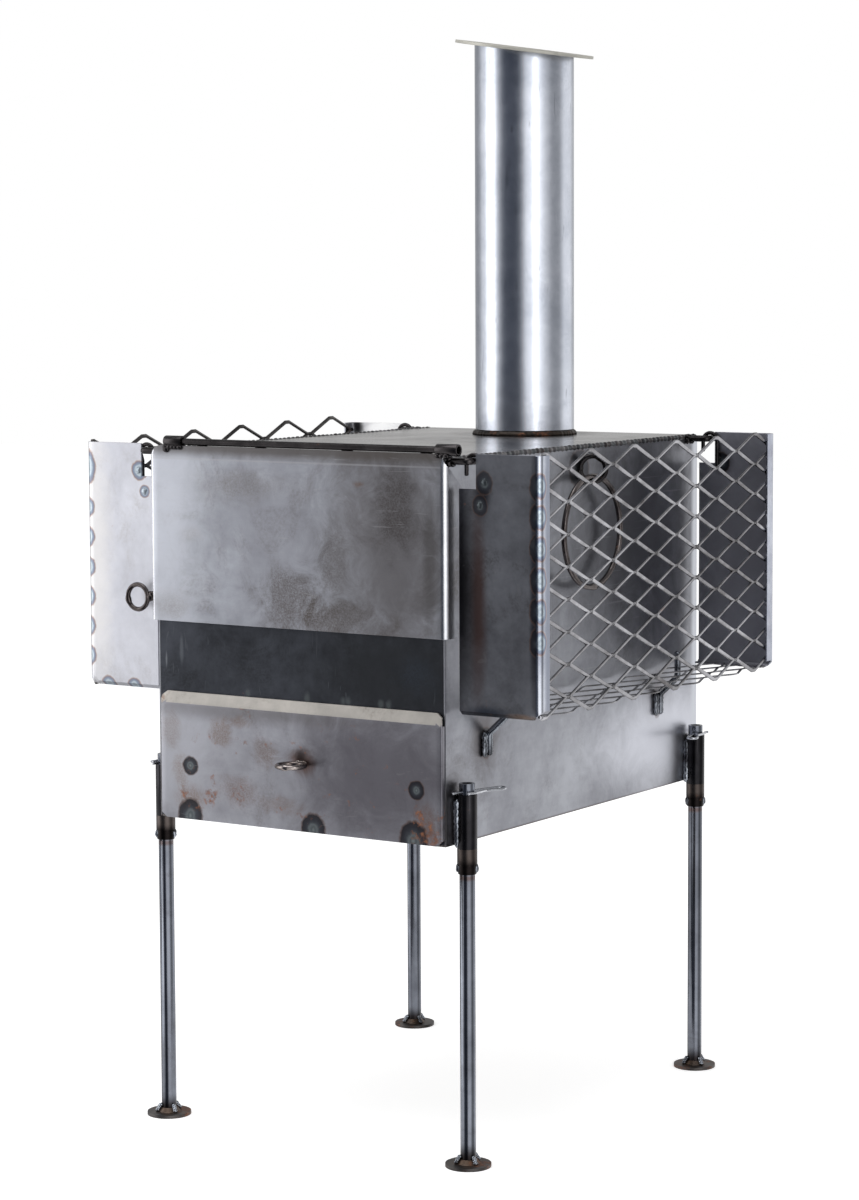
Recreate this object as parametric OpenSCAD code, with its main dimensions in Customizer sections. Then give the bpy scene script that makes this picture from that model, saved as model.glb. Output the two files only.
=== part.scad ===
// Wood stove for a tent: a folded steel firebox on four drop-in legs, with a top-hinged door,
// an ash drawer, two hook-on side racks of expanded mesh, carry rings and a lift-off flue pipe.
// Frame: origin at the centre of the bounding box at floor level, +Z up, -Y towards the person
// at the door and +X to that person's right.
// Modules are drawn in the body's own frame (x centred, y from the front face, z from the
// underside) and put in place by place().

/* [Body] */
// Outside width of the firebox
body_w = 322; // [306:1:338]
// Outside depth of the firebox
body_d = 470; // [440:5:500]
// Height of the firebox from its underside to the top plate's face
body_h = 348.7; // [344:0.1:356]
// Thickness of the folded sheets
sheet_t = 2; // [1.6:0.1:2.2]
// Thickness of the top plate
top_t = 3; // [2.5:0.5:4]

/* [Legs] */
// Height of the underside above the floor
foot_drop = 294.3; // [250:0.1:330]
// Outside diameter of a leg tube
leg_d = 13.5; // [12.7:0.1:14]
// Diameter of a foot disc
foot_d = 42; // [36:1:48]

/* [Flue] */
// Outside diameter of the flue pipe
pipe_d = 100; // [92:1:108]
// Height of the mitred pipe end on its axis, above the top plate
pipe_rise = 385.3; // [320:0.1:420]
// Tilt of the mitred end towards the right side, in degrees
roof_tilt = 8.5; // [0:0.5:10]
// Diameter of the flashing plate
flashing_d = 140; // [130:1:150]

/* [Door] */
// Height of the door's lower edge above the underside
door_low = 187.6; // [180:0.1:196]
// Depth of the door's side flanges
door_flange = 28; // [24:1:29]

/* [Drawer] */
// Height of the drawer front
drawer_h = 121; // [114:1:124]

/* [Racks] */
// Outer face of a rack from the stove's centre line
rack_out = 254; // [246:0.5:258]
// Height of a rack's underside above the underside of the firebox
rack_low = 119; // [112:1:122]
// Length of one mesh opening along the stove
mesh_lwd = 80; // [74:1:86]

/* [Hidden] */
$fn = 64;
// One overrun for all cuts
over = 1;
// Gap where a piece of one body rests on another
seat_gap = 0.3;
// Radial clearance of a shaft in its bore
run_fit = 0.1;

// Body and its top seams
half_w = body_w / 2;
wall_h = body_h - top_t;
bead_step = 1.5;
bead_r = 2.2;
bead_proud = 0.3;

// Pegs that carry the racks, measured from the walls and the top
rod_d = 6.4;
rod_r = rod_d / 2;
peg_out = 22.2;
peg_under = 2.7;
peg_bend = 5;
peg_front_y = 6;
peg_run = 24;
peg_x = half_w + peg_out;
peg_z = body_h - peg_under;

// Hooks over the pegs
hook_wire = 4;
hook_r = 8;
hook_in_drop = 10.8;
hook_out_drop = 29;

// Rack panels
rack_gap = 8.5;
rack_y = 10;
rack_rise = 3.9;
notch_out = 26.2;
notch_drop = 27.2;
rack_flange = 16;
rack_corner = 8;
rack_lip = 9;
bend_out = 2.6;
peg_back_set = 11;
rack_in = half_w + rack_gap;
rack_top = body_h + rack_rise;
rack_back_y = body_d - rack_y;
notch_x = half_w + notch_out;
notch_z = body_h - notch_drop;
peg_back_y = rack_back_y - peg_back_set;

// Expanded mesh: a grid of strands with the openings' long way along the stove
mesh_rows = 8;
floor_cols = 3;
strand_w = 3.3;
mesh_phase_share = 0.525;
tip_share = 0.95;
mesh_under = 1;
// Shift of the floor's openings towards the door
floor_shift = 7;
mesh_swd = (rack_top - mesh_under - rack_low) / mesh_rows;

// Lower pins that steady a rack
pin_out = 23;
pin_drop = 44;
pin_above = 19.5;
pin_below = 6;
pin_rise = 18;
pin_ball_d = 7.7;
pin_low = rack_low - pin_drop;
pin_bend_high = rack_low - pin_below;
pin_top = rack_low + pin_above;

// Hinge of the door
hinge_y = -0.5;
hinge_up = 7.3;
hinge_rod_d = 6.4;
knuckle_d = 11;
knuckle_gap = 1;
knuckle_left_l = 20;
knuckle_right_l = 22.5;
knuckle_left_in = 12;
knuckle_right_in = 7;
rod_set = 4;
rod_short = 6.5;
tack_w = 9;
tack_top = 4.9;
// Places of the tacks along the top's front edge, as shares of its half width
tack_shares = [-0.67, -0.255, 0.348, 0.876];
hinge_z = body_h + hinge_up;
knuckle_left = knuckle_left_in - half_w;
knuckle_right = half_w - knuckle_right_in;
rod_left = knuckle_left + rod_set;
rod_right = knuckle_right + knuckle_right_l - rod_short;

// Door pan
door_side = 5;
door_y = -6;
crease_drop = 5.7;
door_rise = 3.8;
door_lean = 3;
corner_in = 7.1;
corner_drop = 1.6;
flange_drop = 3;
flange_fall = 18;
flange_corner = 8;
stop_in = 11;
door_half = half_w + door_side;
door_crease = body_h - crease_drop;
door_top = body_h + door_rise;
corner_low = door_crease - corner_drop;
flange_top = door_crease - flange_drop;
flange_back = door_y + door_flange;

// Feed and ash openings in the front plate
feed_in = 21;
feed_up = 12.4;
feed_under = 13.7;
ash_in = 11;
ash_under = 16;
feed_half = half_w - feed_in;
feed_low = door_low + feed_up;
feed_high = body_h - feed_under;
ash_half = half_w - ash_in;
ash_high = drawer_h - ash_under;

// Ash drawer
drawer_in = 3;
drawer_shift = 2.3;
drawer_y = -5.4;
drawer_low = 1;
drawer_lip = 9.7;
drawer_corner = 5;
lip_corner = 3;
tray_gap = 3;
tray_under = 6.7;
tray_space = 40;
drawer_half = half_w - drawer_in;
tray_half = ash_half - tray_gap;
tray_back = body_d - tray_space;

// Rings, their pads, and the drawer's pull
ring_d = 28;
ring_wire = 4.5;
pull_d = 30;
pull_x = 6;
pull_up = 63;
door_ring_gap = 2.3;
door_ring_up = 20.4;
eye_d = 28.5;
eye_drop = 21.7;
carry_d = 110;
carry_wire = 5;
pad_t = 3;
eye_z = body_h - eye_drop;
eye_x = half_w + eye_d / 2 + seat_gap;
pull_y = drawer_y - pull_d / 2 - seat_gap;
pull_z = drawer_low + pull_up;
door_ring_x = door_half + door_ring_gap + ring_d / 2;
door_ring_z = door_low + door_ring_up;

// Legs, sockets and spring clips
leg_out = 9.8;
leg_front_y = 20;
leg_wall = 1.5;
socket_wall = 1.85;
socket_low = -3;
socket_top = 46;
spigot_top = 56;
collar_h = 13;
gusset_h = 9;
gusset_t = 1;
foot_t = 3;
foot_weld = 4;
leg_x = half_w + leg_out;
leg_back_y = body_d - leg_front_y;
socket_d = leg_d + 2 * socket_wall;

// Spring clip: a shaft, a round end and a return leg that hugs the tube
clip_wire = 2.5;
clip_z = 48.6;
clip_tip = 17.7;
clip_reach = 41;
clip_flat = 2.6;
clip_end_r = 4.75;
// Points along the return leg: outwards from the shaft and along it, as shares of the reach
clip_path_shares = [[0.23, 1], [0.142, 0.5], [0.22, 0.05], [0.22, -0.07], [0.27, -0.2]];
// Yaw from the stove's length towards the outside: front right, front left, back right, back left
clip_yaw = [16, -4, 16, 16];

// Flue
pipe_wall = 1;
pipe_set = 70;
stub_wall = 1.5;
stub_h = 40;
weld_h = 5;
weld_out = 4;
flashing_t = 3;
pipe_y = body_d - pipe_set;
stub_r = pipe_d / 2 - pipe_wall - run_fit;

// Grate and its ledges
ledge_w = 20;
ledge_up = 13;
grate_t = 4;
grate_gap = 1;
slot_w = 12;
slot_l = 78;
slot_cols = 3;
slot_rows = 15;
ledge_z = ash_high + ledge_up;

// Ends of the bounding box, to centre the origin
box_front = pull_y - pull_d / 2;
box_back = max(leg_back_y + foot_d / 2, peg_back_y + peg_run);
mid_y = (box_front + box_back) / 2;

// Puts the body's frame into the part's frame
module place() {
    translate([0, -mid_y, foot_drop]) children();
}

// Draws a right-hand piece, or its mirror on the left
module sided(s) {
    mirror([s < 0 ? 1 : 0, 0, 0]) children();
}

// Draws a piece on one side and end: e is 1 at the front and -1 at the back
module ended(s, e) {
    sided(s) translate([0, e < 0 ? body_d : 0, 0]) mirror([0, e < 0 ? 1 : 0, 0]) children();
}

// A ring of round wire about the Z axis
module wire_ring(outer_d, wire) {
    rotate_extrude() translate([(outer_d - wire) / 2, 0]) circle(d = wire);
}

// A straight run of rod along +Y, with the children at its end
module run(l, d) {
    rotate([-90, 0, 0]) cylinder(d = d, h = l);
    translate([0, l, 0]) children();
}

// A bend that turns the rod to the right by a degrees, or to the left below zero
module bend(r, a, d) {
    side = a < 0 ? -1 : 1;
    mirror([side < 0 ? 1 : 0, 0, 0]) translate([r, 0, 0]) rotate([0, 0, 180 - abs(a)])
        rotate_extrude(angle = abs(a)) translate([r, 0]) circle(d = d);
    translate([side * r, 0, 0]) rotate([0, 0, -a]) translate([-side * r, 0, 0]) children();
}

module top_plate() color([0.62, 0.6, 0.56]) place() {
    difference() {
        translate([bead_step - half_w, 0, wall_h]) cube([body_w - 2 * bead_step, body_d, top_t]);
        translate([0, pipe_y, wall_h - over]) cylinder(r = stub_r - stub_wall, h = top_t + 2 * over);
    }
}

module side_wall(s) color([0.6, 0.61, 0.63]) place() {
    sided(s) translate([half_w - sheet_t, 0, 0]) cube([sheet_t, body_d, wall_h]);
}

module back_wall() color([0.58, 0.59, 0.61]) place() {
    translate([sheet_t - half_w, body_d - sheet_t, 0]) cube([body_w - 2 * sheet_t, sheet_t, wall_h]);
}

module floor_plate() color([0.4, 0.4, 0.41]) place() {
    translate([sheet_t - half_w, 0, 0]) cube([body_w - 2 * sheet_t, body_d - sheet_t, sheet_t]);
}

module front_plate() color([0.17, 0.19, 0.22]) place() {
    difference() {
        translate([sheet_t - half_w, 0, sheet_t])
            cube([body_w - 2 * sheet_t, sheet_t, wall_h - sheet_t]);
        translate([-feed_half, -over, feed_low])
            cube([2 * feed_half, sheet_t + 2 * over, feed_high - feed_low]);
        translate([-ash_half, -over, 0]) cube([2 * ash_half, sheet_t + 2 * over, ash_high]);
    }
}

module ledge(s) {
    ledge_l = body_d - 2 * ledge_w;
    sided(s) translate([half_w - sheet_t - ledge_w, ledge_w, ledge_z]) {
        cube([ledge_w, ledge_l, sheet_t]);
        translate([ledge_w - sheet_t, 0, 0]) cube([sheet_t, ledge_l, ledge_w]);
    }
}

module grate_ledges() color([0.3, 0.29, 0.28]) place() {
    ledge(1);
    ledge(-1);
}

module fire_grate() color([0.25, 0.24, 0.24]) place() {
    grate_half = half_w - 2 * sheet_t - grate_gap;
    grate_l = body_d - 2 * ledge_w;
    row_step = grate_l / (slot_rows + 1);
    col_step = 2 * grate_half / slot_cols;
    translate([0, ledge_w, ledge_z + sheet_t]) difference() {
        translate([-grate_half, 0, 0]) cube([2 * grate_half, grate_l, grate_t]);
        for (c = [1 - slot_cols : 2 : slot_cols - 1])
            for (r = [1 : slot_rows])
                translate([c * col_step / 2 - slot_l / 2, r * row_step - slot_w / 2, -over])
                    cube([slot_l, slot_w, grate_t + 2 * over]);
    }
}

module flue_collar() color([0.32, 0.26, 0.22]) place() {
    outer = pipe_d / 2 + weld_out;
    translate([0, pipe_y, body_h]) rotate_extrude() polygon([
        [stub_r - stub_wall, 0], [outer, 0], [outer - weld_h / 5, weld_h * 3 / 5],
        [outer - weld_h * 2 / 3, weld_h],
        [stub_r, weld_h], [stub_r, stub_h], [stub_r - stub_wall, stub_h]]);
}

// A round piece on the hinge's axis
module knuckle(x, l, d) {
    translate([x, hinge_y, hinge_z]) rotate([0, 90, 0]) cylinder(d = d, h = l);
}

module hinge_rod() color([0.2, 0.19, 0.19]) place() {
    knuckle(rod_left, rod_right - rod_left, hinge_rod_d);
    for (x = tack_shares * half_w)
        translate([x - tack_w / 2, 0, body_h]) rotate([90, 0, 90]) linear_extrude(height = tack_w)
            polygon([[0, 0], [tack_top * 4 / 5, 0], [tack_top / 3, tack_top], [0, tack_top]]);
}

// A rod that leaves the wall sideways and turns towards the back
module peg(wall_y) {
    translate([half_w, wall_y, peg_z]) rotate([0, 0, -90])
        run(peg_out - peg_bend, rod_d) bend(peg_bend, -90, rod_d) run(peg_run - peg_bend, rod_d);
}

module peg_set() {
    for (s = [-1, 1]) sided(s) {
        peg(peg_front_y);
        peg(peg_back_y);
    }
}

module rack_pegs() color([0.22, 0.2, 0.19]) place() {
    peg_set();
}

// A rod on the wall that joggles outwards and stands up through the rack's floor
module support(y) {
    base = pin_ball_d / 2;
    across = pin_out - base;
    low = pin_bend_high - pin_rise;
    translate([half_w + base, y, 0]) {
        translate([0, 0, pin_low]) cylinder(d = rod_d, h = low - pin_low);
        translate([0, 0, low]) rotate([0, atan2(across, pin_rise), 0])
            cylinder(d = rod_d, h = norm([across, pin_rise]));
        translate([across, 0, pin_bend_high]) cylinder(d = rod_d, h = pin_top - pin_bend_high);
        translate([0, 0, low]) sphere(d = pin_ball_d);
        translate([across, 0, pin_bend_high]) sphere(d = pin_ball_d);
        translate([-base, -rod_r / 2, pin_low + rod_r]) cube([base, rod_r, rod_d]);
    }
}

module rack_supports() color([0.24, 0.22, 0.21]) place() {
    for (s = [-1, 1]) sided(s) {
        support(floor_hole_y(0));
        support(floor_hole_y(4));
    }
}

module carry_eyes() color([0.33, 0.24, 0.2]) place() {
    for (s = [-1, 1]) sided(s) {
        translate([eye_x, body_d / 2, eye_z]) rotate([90, 0, 0]) wire_ring(eye_d, ring_wire);
        translate([half_w, body_d / 2 - ring_wire / 2, eye_z - ring_wire])
            cube([pad_t, ring_wire, 2 * ring_wire]);
    }
}

module leg_sockets() color([0.26, 0.25, 0.25]) place() {
    for (s = [-1, 1]) for (e = [-1, 1]) ended(s, e) difference() {
        union() {
            translate([leg_x, leg_front_y, socket_low]) cylinder(d = socket_d, h = socket_top - socket_low);
            translate([half_w, leg_front_y - pad_t, 0]) cube([pad_t, 2 * pad_t, socket_top - pad_t]);
        }
        translate([leg_x, leg_front_y, socket_low - over]) cylinder(d = leg_d + 2 * run_fit, h = spigot_top);
    }
}

module seam_welds() color([0.5, 0.5, 0.5]) place() {
    difference() {
        for (s = [-1, 1]) sided(s) difference() {
            translate([half_w - bead_r + bead_proud, 0, body_h - bead_r + bead_proud])
                run(body_d, 2 * bead_r);
            translate([0, -over, 0]) cube([half_w - bead_step, body_d + 2 * over, body_h + over]);
            translate([0, -over, 0]) cube([half_w + over, body_d + 2 * over, wall_h]);
        }
        peg_set();
    }
}

// Pan section: front sheet and two side flanges with rounded bends
module pan_section(half, front, back, t, r) {
    difference() {
        union() {
            translate([-half, front + r]) square([2 * half, back - front - r]);
            translate([r - half, front]) square([2 * (half - r), back - front]);
            for (s = [-1, 1]) translate([s * (half - r), front + r]) circle(r = r);
        }
        translate([t - half, front + r]) square([2 * (half - t), back - front]);
        translate([r - half, front + t]) square([2 * (half - r), back - front]);
        for (s = [-1, 1]) translate([s * (half - r), front + r]) circle(r = r - t);
    }
}

module door_outline() {
    top_half = door_half - corner_in;
    polygon([[-door_half, door_low], [door_half, door_low], [door_half, corner_low],
        [top_half, door_top], [top_half, door_top + over], [-top_half, door_top + over],
        [-top_half, door_top], [-door_half, corner_low]]);
}

module door_panel() color([0.45, 0.46, 0.49]) place() difference() {
    intersection() {
        union() {
            translate([0, 0, door_low]) linear_extrude(height = door_crease - door_low)
                pan_section(door_half, door_y, flange_back, sheet_t, bend_out);
            translate([bend_out - door_half, 0, 0]) rotate([90, 0, 90])
                linear_extrude(height = 2 * (door_half - bend_out))
                polygon([[door_y, door_crease], [door_y + door_lean, door_top],
                    [door_y + door_lean + sheet_t, door_top], [door_y + sheet_t, door_crease]]);
            translate([stop_in - half_w, door_y + sheet_t, door_low])
                cube([2 * (half_w - stop_in), -door_y - sheet_t - seat_gap, sheet_t]);
        }
        translate([0, flange_back + over, 0]) rotate([90, 0, 0])
            linear_extrude(height = flange_back - door_y + 2 * over) door_outline();
    }
    for (s = [-1, 1]) sided(s) translate([door_half - bend_out, 0, 0]) rotate([90, 0, 90])
        linear_extrude(height = bend_out + over) {
            polygon([[door_y + bend_out, flange_top], [flange_back + over, flange_top - flange_fall],
                [flange_back + over, body_h], [door_y + bend_out, body_h]]);
            polygon([[flange_back - flange_corner, door_low - over], [flange_back + over, door_low - over],
                [flange_back + over, door_low + flange_corner]]);
        }
    knuckle(knuckle_left - knuckle_gap, knuckle_left_l + 2 * knuckle_gap, knuckle_d);
    knuckle(knuckle_right - knuckle_gap, knuckle_right_l + 2 * knuckle_gap, knuckle_d);
}

module door_knuckles() color([0.2, 0.2, 0.21]) place() {
    for (k = [[knuckle_left, knuckle_left_l], [knuckle_right, knuckle_right_l]]) difference() {
        knuckle(k[0], k[1], knuckle_d);
        knuckle(k[0] - over, k[1] + 2 * over, hinge_rod_d + 2 * run_fit);
    }
}

module door_ring() color([0.36, 0.25, 0.2]) place() {
    translate([-door_ring_x, door_y + ring_wire / 2, door_ring_z]) {
        rotate([90, 0, 0]) wire_ring(ring_d, ring_wire);
        translate([ring_d / 2 + door_ring_gap - ring_wire, bend_out - ring_wire / 2, -ring_wire])
            cube([ring_wire, ring_wire - bend_out, 2 * ring_wire]);
    }
}

module drawer_outline() {
    polygon([[drawer_corner - drawer_half, drawer_low], [drawer_half - drawer_corner, drawer_low],
        [drawer_half, drawer_low + drawer_corner], [drawer_half, drawer_h - drawer_lip + lip_corner],
        [drawer_half - lip_corner, drawer_h + over], [lip_corner - drawer_half, drawer_h + over],
        [-drawer_half, drawer_h - drawer_lip + lip_corner], [-drawer_half, drawer_low + drawer_corner]]);
}

module drawer_front() color([0.47, 0.47, 0.48]) place() {
    back = -seat_gap;
    fold = sheet_t + seat_gap;
    crease = drawer_h - drawer_lip;
    lip_t = sheet_t * 2;
    translate([drawer_shift, 0, 0]) intersection() {
        union() {
            translate([-drawer_half, 0, 0]) rotate([90, 0, 90]) linear_extrude(height = 2 * drawer_half)
                polygon([[drawer_y, drawer_low], [back, drawer_low], [back, fold],
                    [drawer_y + sheet_t, fold], [drawer_y + sheet_t, crease - sheet_t / 4],
                    [back, drawer_h - lip_t], [back, drawer_h], [drawer_y, crease]]);
            for (s = [-1, 1]) sided(s)
                translate([drawer_half - sheet_t, drawer_y + sheet_t, fold])
                cube([sheet_t, back - drawer_y - sheet_t, crease - sheet_t - fold]);
        }
        rotate([90, 0, 0]) linear_extrude(height = -drawer_y + over) drawer_outline();
    }
}

module drawer_tray() color([0.33, 0.32, 0.31]) place() {
    y0 = drawer_y + sheet_t;
    z0 = sheet_t + seat_gap;
    tray_h = ash_high - tray_under - z0;
    difference() {
        translate([-tray_half, y0, z0]) cube([2 * tray_half, tray_back - y0, tray_h]);
        translate([sheet_t - tray_half, y0 + sheet_t, z0 + sheet_t])
            cube([2 * (tray_half - sheet_t), tray_back - y0 - 2 * sheet_t, tray_h]);
    }
}

module drawer_ring() color([0.4, 0.27, 0.2]) place() {
    translate([pull_x, pull_y, pull_z]) {
        wire_ring(pull_d, ring_wire);
        translate([-ring_wire, drawer_y - pull_y - pad_t, -ring_wire])
            cube([2 * ring_wire, pad_t, 2 * ring_wire]);
    }
}

// Centre of a floor opening along the stove; openings 0 and 4 take the lower pins
function floor_hole_y(i) = body_d / 2 - floor_shift + (i - 2) * mesh_lwd;

module rack_panel() color([0.42, 0.43, 0.45]) {
    difference() {
        union() {
            translate([rack_in, rack_y, rack_low])
                cube([rack_out - rack_in - bend_out, sheet_t, rack_top - rack_low]);
            translate([rack_out - sheet_t, rack_y + bend_out, rack_low])
                cube([sheet_t, rack_flange - bend_out, rack_top - rack_low]);
            translate([rack_out - bend_out, rack_y + bend_out, rack_low]) rotate([0, 0, -90])
                rotate_extrude(angle = 90) translate([bend_out - sheet_t, 0])
                square([sheet_t, rack_top - rack_low]);
            translate([rack_in, rack_y + sheet_t, rack_low])
                cube([rack_out - rack_in - rack_corner - sheet_t, rack_lip - sheet_t, sheet_t]);
        }
        translate([rack_in - over, rack_y - over, notch_z])
            cube([notch_x - rack_in + over, sheet_t + 2 * over, rack_top - notch_z + over]);
        translate([0, rack_y + rack_flange + over, 0]) rotate([90, 0, 0])
            linear_extrude(height = rack_flange + 2 * over)
            polygon([[rack_out - rack_corner, rack_low - over], [rack_out + over, rack_low - over],
                [rack_out + over, rack_low + rack_corner + over]]);
    }
}

module rack_front(s) place() sided(s) rack_panel();

module rack_back(s) place() ended(s, -1) rack_panel();

// One mesh opening, long along x and flattened at its tips
module opening(swd) {
    a = mesh_lwd / 2;
    b = swd / 2;
    inset = 1 - (strand_w / 2) * sqrt(a * a + b * b) / (a * b);
    ta = a * inset * tip_share;
    tb = b * inset * (1 - tip_share);
    polygon([[-ta, -tb], [0, -b * inset], [ta, -tb], [ta, tb], [0, b * inset], [-ta, tb]]);
}

// Sheet of mesh, x along the stove and y across, over a plain strip; top_open shears off the
// last row's upper strands
module mesh_sheet(x0, x1, rows, swd, phase, top_open) {
    cells = ceil((x1 - x0) / mesh_lwd / 2) + 1;
    last = 2 * rows - 1;
    difference() {
        translate([x0, 0]) square([x1 - x0, rows * swd + (top_open ? strand_w / 2 : 0)]);
        for (r = [-1 : last]) for (c = [-cells : cells])
            translate([phase + (c + abs(r % 2) / 2) * mesh_lwd, (r + 1) * swd / 2])
                if (r == last && top_open)
                    sheared(swd);
                else
                    opening(swd);
    }
    translate([x0, 0]) square([x1 - x0, strand_w]);
    if (!top_open) translate([x0, rows * swd - strand_w]) square([x1 - x0, strand_w]);
}

// An opening of the top row, open above its strands
module sheared(swd) {
    a = mesh_lwd / 2;
    b = swd / 2;
    inset = 1 - (strand_w / 2) * sqrt(a * a + b * b) / (a * b);
    polygon([[-a * inset, 0], [0, -b * inset], [a * inset, 0], [a * inset, swd], [-a * inset, swd]]);
}

module side_mesh(s) color([0.5, 0.5, 0.51]) place() {
    sided(s) translate([rack_out - 2 * sheet_t, 0, rack_low]) rotate([90, 0, 90])
        linear_extrude(height = sheet_t)
        mesh_sheet(rack_y + bend_out, rack_back_y - bend_out, mesh_rows, mesh_swd,
            body_d / 2 + mesh_phase_share * mesh_lwd, true);
}

module floor_mesh(s) color([0.46, 0.46, 0.47]) place() {
    width = rack_out - 2 * sheet_t - rack_in;
    sided(s) translate([rack_in + width, 0, rack_low]) rotate([0, 0, 90]) linear_extrude(height = sheet_t)
        mesh_sheet(rack_y + rack_lip, rack_back_y - rack_lip, floor_cols, width / floor_cols,
            floor_hole_y(2), false);
}

module hook() {
    top = peg_z + rod_r + seat_gap - hook_r + hook_wire / 2;
    translate([peg_x - hook_r, rack_y + sheet_t + hook_wire / 2, top - hook_in_drop]) rotate([90, 0, 0])
        run(hook_in_drop, hook_wire) bend(hook_r, 180, hook_wire) run(hook_out_drop, hook_wire);
}

module rack_hooks(s) color([0.22, 0.21, 0.2]) place() {
    ended(s, 1) hook();
    ended(s, -1) hook();
}

module carry_ring(s) color([0.38, 0.26, 0.21]) place() {
    hang_z = eye_z - eye_d / 2 + ring_wire + carry_wire / 2 + seat_gap;
    sided(s) translate([eye_x, body_d / 2, hang_z - (carry_d - carry_wire) / 2])
        rotate([0, 90, 0]) wire_ring(carry_d, carry_wire);
}

module leg_tube(s, e) color([0.24, 0.24, 0.25]) place() ended(s, e)
    translate([leg_x, leg_front_y, 0]) difference() {
        translate([0, 0, foot_t - foot_drop]) cylinder(d = leg_d, h = spigot_top + foot_drop - foot_t);
        translate([0, 0, foot_t - foot_drop - over])
            cylinder(d = leg_d - 2 * leg_wall, h = spigot_top + foot_drop + 2 * over);
        rotate([0, 0, -clip_yaw_of(s, e)]) translate([0, leg_d, clip_z]) rotate([90, 0, 0])
            cylinder(d = clip_wire + 2 * run_fit, h = 2 * leg_d);
    }

module leg_collar(s, e) color([0.3, 0.22, 0.18]) place() ended(s, e)
    translate([leg_x, leg_front_y, socket_low - seat_gap - collar_h - gusset_h]) rotate_extrude() polygon([
        [leg_d / 2, 0], [leg_d / 2 + gusset_t, 0], [socket_d / 2 - gusset_t, gusset_h],
        [socket_d / 2, gusset_h],
        [socket_d / 2, gusset_h + collar_h], [leg_d / 2, gusset_h + collar_h]]);

module leg_foot(s, e) color([0.34, 0.26, 0.22]) place() ended(s, e)
    translate([leg_x, leg_front_y, -foot_drop]) {
        cylinder(d = foot_d, h = foot_t);
        rotate_extrude() polygon([[leg_d / 2, foot_t / 2], [leg_d / 2 + foot_weld, foot_t / 2],
            [leg_d / 2 + foot_weld, foot_t], [leg_d / 2 + gusset_t, foot_t + foot_weld],
            [leg_d / 2, foot_t + foot_weld]]);
    }

// Yaw of each clip from the stove's length towards the outside
function clip_yaw_of(s, e) = clip_yaw[(e > 0 ? 0 : 2) + (s > 0 ? 0 : 1)];

// A flat stroke between two points, round at its far end
module stroke(a, b, w) {
    translate(a) rotate([0, 0, atan2(b[1] - a[1], b[0] - a[0])]) {
        translate([0, -w / 2]) square([norm(b - a), w]);
        translate([norm(b - a), 0]) circle(d = w);
    }
}

module clip(s, e) color([0.72, 0.74, 0.77]) place() ended(s, e)
    translate([leg_x, leg_front_y, clip_z]) rotate([0, 0, -clip_yaw_of(s, e)]) {
        translate([0, -clip_tip, 0]) rotate([-90, 0, 0]) cylinder(d = clip_wire, h = clip_tip + clip_reach);
        translate([0, 0, -clip_flat / 2]) linear_extrude(height = clip_flat) {
            translate([clip_end_r, clip_reach]) difference() {
                circle(r = clip_end_r + clip_flat / 2);
                circle(r = clip_end_r - clip_flat / 2);
            }
            for (i = [1 : len(clip_path_shares) - 1])
                stroke(clip_path_shares[i - 1] * clip_reach, clip_path_shares[i] * clip_reach, clip_flat);
        }
    }

module flue_pipe() color([0.66, 0.67, 0.69]) place() {
    foot = weld_h + seat_gap;
    translate([0, pipe_y, body_h]) difference() {
        translate([0, 0, foot]) cylinder(d = pipe_d, h = pipe_rise + pipe_d - foot);
        translate([0, 0, foot - over]) cylinder(d = pipe_d - 2 * pipe_wall, h = pipe_rise + pipe_d);
        translate([0, 0, pipe_rise]) rotate([0, roof_tilt, 0]) translate([-pipe_d, -pipe_d, 0])
            cube([2 * pipe_d, 2 * pipe_d, 2 * pipe_d]);
    }
}

module flashing_plate() color([0.5, 0.5, 0.51]) place() {
    translate([0, pipe_y, body_h + pipe_rise]) difference() {
        rotate([0, roof_tilt, 0]) cylinder(d = flashing_d, h = flashing_t);
        translate([0, 0, -pipe_d]) cylinder(d = pipe_d - 2 * pipe_wall, h = 2 * pipe_d);
    }
}

top_plate();
side_wall(-1);  // left_wall
side_wall(1);  // right_wall
back_wall();
floor_plate();
front_plate();
grate_ledges();
fire_grate();
flue_collar();
hinge_rod();
rack_pegs();
rack_supports();
carry_eyes();
leg_sockets();
seam_welds();
door_panel();
door_knuckles();
door_ring();
drawer_front();
drawer_tray();
drawer_ring();
rack_front(1);  // rack_right_front
rack_back(1);  // rack_right_back
side_mesh(1);  // rack_right_side_mesh
floor_mesh(1);  // rack_right_floor_mesh
rack_hooks(1);  // rack_right_hooks
rack_front(-1);  // rack_left_front
rack_back(-1);  // rack_left_back
side_mesh(-1);  // rack_left_side_mesh
floor_mesh(-1);  // rack_left_floor_mesh
rack_hooks(-1);  // rack_left_hooks
carry_ring(1);  // carry_ring_right
carry_ring(-1);  // carry_ring_left
leg_tube(1, 1);  // leg_tube_fr
leg_tube(-1, 1);  // leg_tube_fl
leg_tube(1, -1);  // leg_tube_br
leg_tube(-1, -1);  // leg_tube_bl
leg_collar(1, 1);  // leg_collar_fr
leg_collar(-1, 1);  // leg_collar_fl
leg_collar(1, -1);  // leg_collar_br
leg_collar(-1, -1);  // leg_collar_bl
leg_foot(1, 1);  // leg_foot_fr
leg_foot(-1, 1);  // leg_foot_fl
leg_foot(1, -1);  // leg_foot_br
leg_foot(-1, -1);  // leg_foot_bl
clip(1, 1);  // clip_fr
clip(-1, 1);  // clip_fl
clip(1, -1);  // clip_br
clip(-1, -1);  // clip_bl
flue_pipe();
flashing_plate();
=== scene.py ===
import bpy
import math
from mathutils import Matrix, Vector, noise


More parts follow.
